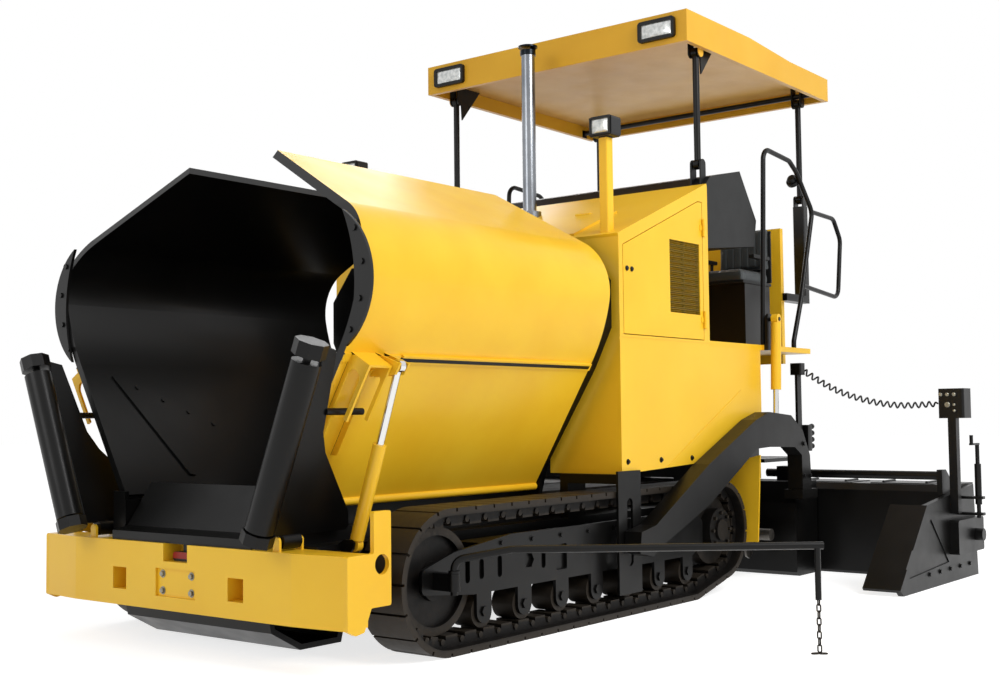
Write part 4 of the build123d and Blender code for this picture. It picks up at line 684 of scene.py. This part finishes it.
def makeGuideRod(label, side):
    bm = bmesh.new()
    bm.from_mesh(nodes[f"guide_rod_{label}"].data)
    chainFeet = [point for point in bm.verts if point.co.z < guideChain["tubeEnd"]]
    bmesh.ops.delete(bm, geom=chainFeet, context="VERTS")
    bmesh.ops.holes_fill(bm, edges=[line for line in bm.edges if line.is_boundary])
    rod = finished(asPiece(f"guideTube_{label}", bm, black, 30), f"guide_rod_{label}")
    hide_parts(f"guide_rod_{label}")
    bm = bmesh.new()
    across, ahead, down = Vector((0, 1, 0)), Vector((1, 0, 0)), Vector((0, 0, -1))
    place = Vector((behind(guideChain["station"]), side * guideChain["y"], guideChain["top"]))
    for number in range(guideChain["hanging"]):
        addLink(bm, place, down, across if number % 2 else ahead)
        place = place + down * guideChain["pitch"]
    for (x, y), (run, out) in guideChain["lying"]:  # the last links, on the ground
        along = Vector((run, side * out, 0)).normalized()
        addLink(bm, (place.x + x, place.y + side * y, guideChain["floor"]), along, along.cross(down))
    finished(asPiece(f"guideChain_{label}", bm, iron), f"guide_rod_{label}")


eachSide(makeGuideRod)
print("guide rods made")

# Checkered steel on the platform's floor and the screed's walkway: raised lozenges in turned pairs
treads = {
    "checkeredFloor": {"node": "platform", "body": "tractor", "front": 3.66, "rear": 5.17, "half": 1.19,
                       "probe": 4.30},
    "walkwayTread": {"node": "screed_walkway", "body": "screed", "front": 5.33, "rear": 5.98, "half": 0.77,
                     "probe": 5.80},  # stations, and the station where the level is read
}
lozenge = {"pitch": 0.058, "half": (0.017, 0.0055), "tall": 0.0016, "sunk": 0.0004, "top": 0.7, "flat": 0.001}
surfaces = {}


def hitOn(node, origin, direction):  # where a straight line first meets a CAD node
    if node not in surfaces:
        data = nodes[node].data
        surfaces[node] = BVHTree.FromPolygons([point.co for point in data.vertices],
                                              [face.vertices[:] for face in data.polygons])
    return surfaces[node].ray_cast(Vector(origin), Vector(direction))[0]


def makeTread(name):
    tread, down = treads[name], (0, 0, -1)
    level = hitOn(tread["node"], (behind(tread["probe"]), 0, 6), down).z
    pitch = lozenge["pitch"]
    long, wide = lozenge["half"]
    bm = bmesh.new()
    for row in range(int((tread["rear"] - tread["front"]) / pitch)):
        for column in range(int(2 * tread["half"] / pitch)):
            station, y = tread["front"] + row * pitch, -tread["half"] + (column + 0.5) * pitch
            hit = hitOn(tread["node"], (behind(station), y, 6), down)
            if hit is None or abs(hit.z - level) > lozenge["flat"]:
                continue
            turn = math.radians(45 if (row + column) % 2 else -45)
            along = Vector((math.cos(turn), math.sin(turn), 0)) * long
            across = Vector((-math.sin(turn), math.cos(turn), 0)) * wide
            middle = Vector((behind(station), y, level - lozenge["sunk"]))
            top = middle + Vector((0, 0, lozenge["tall"]))
            corners = (along, across, -along, -across)
            addSolid(bm, [[bm.verts.new(middle + corner) for corner in corners],
                          [bm.verts.new(top + corner * lozenge["top"]) for corner in corners]])
    finished(asPiece(name, bm, worn), tread["body"])


for name in treads:
    makeTread(name)
print("treads made")

# Operator's panel on the console's rear slope: dials, switches, a lever and knobs for each seat
panel = {
    "station": 4.190, "z": 3.040, "y": 0.78,
    "down": Vector((-0.592, 0, -0.806)), "out": Vector((-0.806, 0, 0.592)),
    "plate": (0.30, 0.62, 0.006), "middle": 0.20,
    "switch": (0.034, 0.020, 0.014), "switchRow": 0.26, "switches": [-0.20 + 0.055 * k for k in range(6)],
    "screws": [(along, shift) for shift in (-0.29, 0.29) for along in (0.07, 0.33)], "screw": 0.012,
}
panelRounds = {  # down the slope, across it, off it from and to, radius, points around, edge
    "panel": [*((0.12, shift, 0.006, 0.034, 0.019, 24, 0.004) for shift in (-0.24, 0.24)),  # knobs
              (0.16, 0.12, 0.004, 0.026, 0.036, 28, 0.008),  # lever boot
              (0.16, 0.12, 0.100, 0.150, 0.017, 24, 0.007)],  # its grip
    "panelMetal": [(0.16, 0.12, 0.020, 0.110, 0.006, 16, 0.001),  # lever
                   *((0.12, shift, 0.005, 0.013, 0.046, 32, 0.003) for shift in (-0.12, 0.0))],  # dial rims
    "dials": [(0.12, shift, 0.012, 0.0145, 0.039, 32, 0.001) for shift in (-0.12, 0.0)],
}


def onPanel(along, y, off):
    return Vector((behind(panel["station"]), y, panel["z"])) + panel["down"] * along + panel["out"] * off


def makePanel(label, side):
    y = side * panel["y"]
    tilt = Matrix((panel["down"], Vector((0, -1, 0)), panel["out"])).transposed().to_4x4()
    meshes = {key: bmesh.new() for key in panelRounds}
    addBox(meshes["panel"], onPanel(panel["middle"], y, 0.003), panel["plate"], 0.002, tilt)
    for shift in panel["switches"]:
        addBox(meshes["panel"], onPanel(panel["switchRow"], y + shift, 0.011), panel["switch"], 0.003, tilt)
    for along, shift in panel["screws"]:
        addBolt(meshes["panelMetal"], onPanel(along, y + shift, 0.006), panel["out"], panel["screw"])
    for key, finish, slot in (("panel", plastic, "console_plastic"), ("panelMetal", zinc, "bare_steel"),
                              ("dials", dial, "console_plastic")):
        for along, shift, low, high, *form in panelRounds[key]:
            addBar(meshes[key], onPanel(along, y + shift, low), onPanel(along, y + shift, high), *form)
        finished(asPiece(f"{key}_{label}", meshes[key], finish), "tractor")


eachSide(makePanel)
print("operator's panels made")


# Bolts: each set is placed by straight lines that meet the node's faces
def lineUp(first, last, count):
    return [tuple(a + (b - a) * k / (count - 1) for a, b in zip(first, last)) for k in range(count)]


boltSets = [  # name, node, body, direction of the lines, width, where the lines start
    ("panelBolts", "front_beam", "tractor", (-1, 0, 0), 0.026,
     [(3.0, y, z) for y in (-0.12, 0.12) for z in (0.3335, 0.4225)]),
    ("rearPanelBolts", "platform", "tractor", (1, 0, 0), 0.018,
     lineUp((-3.0, -0.96, 2.71), (-3.0, 0.96, 2.71), 7) + lineUp((-3.0, -0.96, 1.70), (-3.0, 0.96, 1.70), 7)),
    ("screedBolts", "screed_body", "screed", (1, 0, 0), 0.024,
     lineUp((-3.3, -0.75, 0.12), (-3.3, 0.75, 0.12), 8)),
]
for label, side in sides:
    inward = (0, -side, 0)
    boltSets += [
        (f"sillBolts_{label}", "body_panels", "tractor", inward, 0.022,
         [(behind(s), side * 2, 0.955 + max(0, (s - 3.70) * 0.47)) for s in (2.52, 2.92, 3.32, 3.68)]),
        (f"trackFrameBolts_{label}", "track_frames", "tractor", inward, 0.022,
         lineUp((behind(1.02), side * 2, 0.548), (behind(3.30), side * 2, 0.548), 9)),
        (f"extensionBolts_{label}", f"screed_extension_{label}", f"extension_{label}", (1, 0, 0), 0.024,
         lineUp((-3.3, side * 0.98, 0.07), (-3.3, side * 2.20, 0.07), 6)
         + lineUp((-3.3, side * 0.98, 0.50), (-3.3, side * 2.20, 0.50), 6)),
        (f"gateBolts_{label}", f"end_gate_{label}", f"extension_{label}", inward, 0.024,
         lineUp((behind(4.75), side * 3, 0.10), (behind(5.60), side * 3, 0.10), 5)),
        (f"armBolts_{label}", "tow_arms", "screed", inward, 0.026,
         [(behind(s), side * 3, z) for s, z in ((4.74, 1.02), (4.84, 1.02), (4.74, 0.78), (4.84, 0.78))]),
    ]


def makeBolts():
    for name, node, body, direction, across, origins in boltSets:
        bare = name == "panelBolts"  # zinc bolts in holes of their own
        aside = Vector((0, bolt["aside"] if bare else 0, 0))  # the line passes beside such a hole
        bm = bmesh.new()
        for origin in origins:
            origin, along = Vector(origin), Vector(direction)
            hit = hitOn(node, origin + aside, direction)
            if hit is not None:  # a line through an opening meets nothing
                deep = (hit - origin - aside).dot(along)
                addBolt(bm, origin + along * (deep + bolt["lift"]), -along, across)
        finish, slot = (zinc, "bare_steel") if bare else (black, "black_paint")
        finished(asPiece(name, bm, finish), body)


makeBolts()
print("bolts made")

# Hatches with grips and hinges in the rear panel
hatch = {
    "station": 5.303, "y": 0.50, "z": 2.20, "size": (0.008, 0.72, 0.62), "edge": 0.003,
    "gripHalf": 0.08, "gripUp": 0.22, "gripOut": 0.037, "footRadius": 0.007, "barRadius": 0.008,
    "hinges": (-0.2, 0.2), "hingeY": 0.36, "hingeOut": 0.007, "hingeHalf": 0.03, "hingeRadius": 0.010,
}


def makeHatch(label, side):
    x, y, z = behind(hatch["station"]), side * hatch["y"], hatch["z"]
    half, foot, high = hatch["gripHalf"], hatch["footRadius"], z + hatch["gripUp"]
    barX = x - hatch["gripOut"]
    bm = bmesh.new()
    addBox(bm, (x, y, z), hatch["size"], hatch["edge"])
    finished(asPiece(f"hatch_{label}", bm, yellow), "tractor")
    bm = bmesh.new()
    for shift in (-half, half):
        addBar(bm, (x - 0.002, y + shift, high), (barX - 0.005, y + shift, high), foot)
    addBar(bm, (barX, y - half - foot, high), (barX, y + half + foot, high), hatch["barRadius"], 20, 0.003)
    rise = Vector((0, 0, hatch["hingeHalf"]))
    for height in hatch["hinges"]:
        place = Vector((x - hatch["hingeOut"], y + side * hatch["hingeY"], z + height))
        addBar(bm, place - rise, place + rise, hatch["hingeRadius"], 20, 0.002)
    finished(asPiece(f"hatchFittings_{label}", bm, black), "tractor")


# Cover plates with two round ribs each, on the extensions' tops
extensionCover = {
    "station": 5.57, "y": (1.25, 1.90), "plate": (0.36, 0.50, 0.008), "lift": 0.002, "edge": 0.003,
    "ribs": (-0.17, 0.17), "ribHalf": 0.12, "ribRadius": 0.010, "ribLift": 0.010,
}


def makeExtensionCover(label, side):
    bm = bmesh.new()
    for y in extensionCover["y"]:
        top = hitOn(f"screed_extension_{label}", (behind(extensionCover["station"]), side * y, 3), (0, 0, -1))
        lift = Vector((0, 0, extensionCover["lift"]))
        addBox(bm, top + lift, extensionCover["plate"], extensionCover["edge"])
        half = Vector((extensionCover["ribHalf"], 0, 0))
        for shift in extensionCover["ribs"]:
            middle = top + Vector((0, shift, extensionCover["ribLift"]))
            addBar(bm, middle - half, middle + half, extensionCover["ribRadius"], 18, extensionCover["edge"])
    finished(asPiece(f"extensionCover_{label}", bm, black), f"extension_{label}")


# Round work lamp on the left handrail, as the photograph shows, and its match on the right
workLamp = {
    "station": 5.185, "y": 1.155, "z": 3.110, "facing": Vector((-0.86, 0, -0.5)),
    "rail": (5.18, 1.205, 3.085), "stay": (0.009, 16, 0.002),  # place on the handrail, and the bar to it
    "rounds": [(-0.045, 0.0, 0.0385, 28, 0.012), (-0.012, 0.022, 0.055, 32, 0.005)],
    "lens": (0.018, 0.026, 0.0473, 32, 0.003),  # from, to, radius, points around, edge
}


def makeWorkLamp(label, side):
    place = Vector((behind(workLamp["station"]), side * workLamp["y"], workLamp["z"]))
    station, y, z = workLamp["rail"]
    facing = workLamp["facing"]
    bm = bmesh.new()
    for back, front, *form in workLamp["rounds"]:
        addBar(bm, place + facing * back, place + facing * front, *form)
    addBar(bm, place, (behind(station), side * y, z), *workLamp["stay"])
    finished(asPiece(f"workLamp_{label}", bm, plastic), "tractor")
    bm = bmesh.new()
    back, front, *form = workLamp["lens"]
    addBar(bm, place + facing * back, place + facing * front, *form)
    finished(asPiece(f"workLampLens_{label}", bm, glass), "tractor")


# Knobs and plugs on the control box of each end gate
gateKnobs = {
    "places": [(2.285, 1.375, 0.014), (2.335, 1.375, 0.014), (2.385, 1.375, 0.014), (2.335, 1.300, 0.020),
               (2.385, 1.300, 0.010), (2.385, 1.255, 0.010)],  # Y, Z, radius
    "sunk": 0.002, "tall": 0.022, "edge": 0.003,
}


def makeGateKnobs(label, side):
    bm = bmesh.new()
    sunk, tall = (Vector((gateKnobs[key], 0, 0)) for key in ("sunk", "tall"))
    for y, z, radius in gateKnobs["places"]:
        hit = hitOn(f"end_gate_{label}", (1.0, side * y, z), (-1, 0, 0))
        addBar(bm, hit - sunk, hit + tall, radius, 20, gateKnobs["edge"])
    finished(asPiece(f"gateKnobs_{label}", bm, zinc), f"extension_{label}")


for label, side in sides:
    for make in (makeGateKnobs, makeHatch, makeExtensionCover, makeWorkLamp):
        make(label, side)
print("hatches, covers, knobs and work lamps made")

# Valve block with its couplers at the rear of each tow arm
valveBlock = {
    "station": 4.905, "y": 1.33, "z": 1.06, "size": (0.07, 0.10, 0.20), "edge": 0.006,
    "couplers": (-0.075, -0.025, 0.025, 0.075), "shift": 0.02,
    "rounds": [((0.030, 0.000), (0.085, 0.010), 0.017, 0.004),  # from and to, each back and up, radius, edge
               ((0.080, 0.009), (0.105, 0.013), 0.021, 0.005)],
}


def makeValveBlock(label, side):
    x, y, z = behind(valveBlock["station"]), side * valveBlock["y"], valveBlock["z"]
    bm = bmesh.new()
    addBox(bm, (x, y, z), valveBlock["size"], valveBlock["edge"])
    y += side * valveBlock["shift"]
    for rise in valveBlock["couplers"]:  # a body and a ring, tipped up a little
        for (back, low), (far, high), radius, edge in valveBlock["rounds"]:
            addBar(bm, (x - back, y, z + rise + low), (x - far, y, z + rise + high), radius, 18, edge)
    finished(asPiece(f"valveBlock_{label}", bm, black), "screed")


eachSide(makeValveBlock)
print("valve blocks made")

# Seats: blown cushions with sewn channels on a moulded pan, and armrests
seat = {
    "y": 0.78, "voxel": 0.006, "pressure": 4.0, "frames": 20, "quality": 4, "cap": 0.014,
    "cushion": {"middle": (4.815, 2.318), "size": (0.470, 0.430, 0.080), "edge": 0.030},
    "back": {"middle": (5.040, 2.560), "size": (0.062, 0.430, 0.345), "edge": 0.026},
    "channels": (-0.13, -0.065, 0.0, 0.065, 0.13), "channelDepth": 0.007, "channelWidth": 0.007,
    "channelFade": 0.02,  # height over which the channels reach their depth
}
seatShell = [  # station, Y from the seat's middle, Z, size, edge
    (4.830, 0, 2.272, (0.48, 0.45, 0.026), 0.010),  # pan
    (5.080, 0, 2.500, (0.016, 0.44, 0.42), 0.007),  # back plate
]
for out in (-0.232, 0.232):
    seatShell += [(4.930, out, 2.410, (0.035, 0.012, 0.16), 0.004),  # armrest's post
                  (4.850, out, 2.475, (0.27, 0.050, 0.032), 0.012)]  # armrest


def blownPad(name, shape):  # a closed pad swollen by cloth simulation, with each point's move capped
    bm = bmesh.new()
    middle = (behind(shape["middle"][0]), seat["y"], shape["middle"][1])
    addBox(bm, middle, shape["size"], shape["edge"])
    pad = asPiece(name, bm, vinyl, 180)
    remesh = pad.modifiers.new("evenMesh", "REMESH")
    remesh.mode, remesh.voxel_size = "VOXEL", seat["voxel"]
    pad.data = bpy.data.meshes.new_from_object(pad.evaluated_get(bpy.context.evaluated_depsgraph_get()))
    pad.modifiers.clear()
    before = [point.co.copy() for point in pad.data.vertices]
    cloth = pad.modifiers.new("blow", "CLOTH")
    cloth.settings.use_pressure = True
    cloth.settings.uniform_pressure_force = seat["pressure"]
    cloth.settings.effector_weights.gravity = 0
    cloth.settings.quality = seat["quality"]
    for number in range(1, seat["frames"] + 1):
        bpy.context.scene.frame_set(number)
    swollen = bpy.data.meshes.new_from_object(pad.evaluated_get(bpy.context.evaluated_depsgraph_get()))
    pad.modifiers.clear()
    pad.data = swollen
    bpy.context.scene.frame_set(1)
    for point, start in zip(swollen.vertices, before):
        move = point.co - start
        if move.length > seat["cap"]:
            point.co = start + move.normalized() * seat["cap"]
    return pad


def pressChannels(pad, faceAxis, faceLevel, runAxis):  # sewn channels in the side that carries weight
    points = pad.data.vertices
    middle = sum(point.co[runAxis] for point in points) / len(points)
    reach = max(abs(point.co[runAxis] - middle) for point in points)
    for point in points:
        height = point.co[faceAxis] - faceLevel
        if height > 0:
            near = max(math.exp(-((point.co.y - seat["y"] - y) / seat["channelWidth"]) ** 2)
                       for y in seat["channels"])
            fade = max(0.0, 1 - (abs(point.co[runAxis] - middle) / reach) ** 8)
            point.co[faceAxis] -= seat["channelDepth"] * near * fade * min(1, height / seat["channelFade"])


def mirrored(piece, name):
    data = piece.data.copy()
    data.transform(Matrix.Diagonal((1, -1, 1, 1)))
    data.flip_normals()
    copy = bpy.data.objects.new(name, data)
    bpy.context.scene.collection.objects.link(copy)
    return copy


def makeSeats():
    pads = {}
    for key in ("cushion", "back"):
        pads[key] = blownPad(f"seat_{key}_left", seat[key])
    pressChannels(pads["cushion"], 2, seat["cushion"]["middle"][1], 0)
    pressChannels(pads["back"], 0, behind(seat["back"]["middle"][0]), 2)
    for key, pad in pads.items():
        pad.data.materials.clear()
        pad.data.materials.append(vinyl)
        pad.data.shade_smooth()
        for piece in (pad, mirrored(pad, f"seat_{key}_right")):
            finished(piece, "tractor")
            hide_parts("seats")
    for label, side in sides:
        bm = bmesh.new()
        for station, out, z, size, edge in seatShell:
            addBox(bm, (behind(station), side * seat["y"] + out, z), size, edge)
        finished(asPiece(f"seatShell_{label}", bm, plastic), "tractor")


makeSeats()
print("seats made")


# Floor, lamps and world
studio = {
    "floorSize": 60, "floorShare": 0.42, "floorGlow": 1.80,  # share and strength of the camera's white
    "lamps": [  # name, place, aimed at, size, watts
        ("keyLamp", (0.8, 9.5, 8.0), (0.0, 0.5, 1.6), 5.0, 800),
        ("frontLamp", (10.5, -1.5, 5.0), (1.5, 0.0, 1.2), 4.0, 150),
        ("backLamp", (-8.0, -6.0, 7.0), (-1.0, 0.0, 2.0), 5.0, 220),
    ],
    "sky": 0.5,
}


def makeStudio():
    bm = bmesh.new()
    bmesh.ops.create_grid(bm, x_segments=1, y_segments=1, size=studio["floorSize"])
    made, tree, shader = newMaterial("paperFloor", Roughness=0.9, Base_Color=linear("#F4F4F4"))
    ray = addNode(tree, "LightPath").outputs
    glow = addNode(tree, "Emission", {"Color": (1, 1, 1, 1), "Strength": studio["floorGlow"]})
    kinds = ("Camera", "Glossy", "Transmission")
    direct = combined(tree, "MAXIMUM", [ray[f"Is {kind} Ray"] for kind in kinds])
    share = combined(tree, "MULTIPLY", (direct, studio["floorShare"]))
    mix = addNode(tree, "MixShader", {"Fac": share, 1: shader.outputs[0], 2: glow.outputs[0]})
    tree.links.new(mix.outputs[0], tree.nodes["Material Output"].inputs["Surface"])
    asPiece("floor", bm, made)
    for name, place, aim, size, watts in studio["lamps"]:
        data = bpy.data.lights.new(name, "AREA")
        data.size, data.energy = size, watts
        lamp = bpy.data.objects.new(name, data)
        lamp.location = place
        lamp.rotation_euler = (Vector(aim) - Vector(place)).to_track_quat("-Z", "Y").to_euler()
        bpy.context.scene.collection.objects.link(lamp)
    world = bpy.data.worlds.new("studio")
    world.use_nodes = True
    tree = world.node_tree
    ray = addNode(tree, "LightPath").outputs
    shown = combined(tree, "MAXIMUM", [ray["Is Camera Ray"], ray["Is Glossy Ray"]])
    strength = addNode(tree, "MapRange", {"Value": shown, "To Min": studio["sky"], "To Max": 1.0})
    tree.links.new(strength.outputs["Result"], tree.nodes["Background"].inputs["Strength"])
    tree.nodes["Background"].inputs["Color"].default_value = (1, 1, 1, 1)
    bpy.context.scene.world = world
    bpy.context.scene.view_settings.view_transform = "Standard"


makeStudio()
print("studio made")
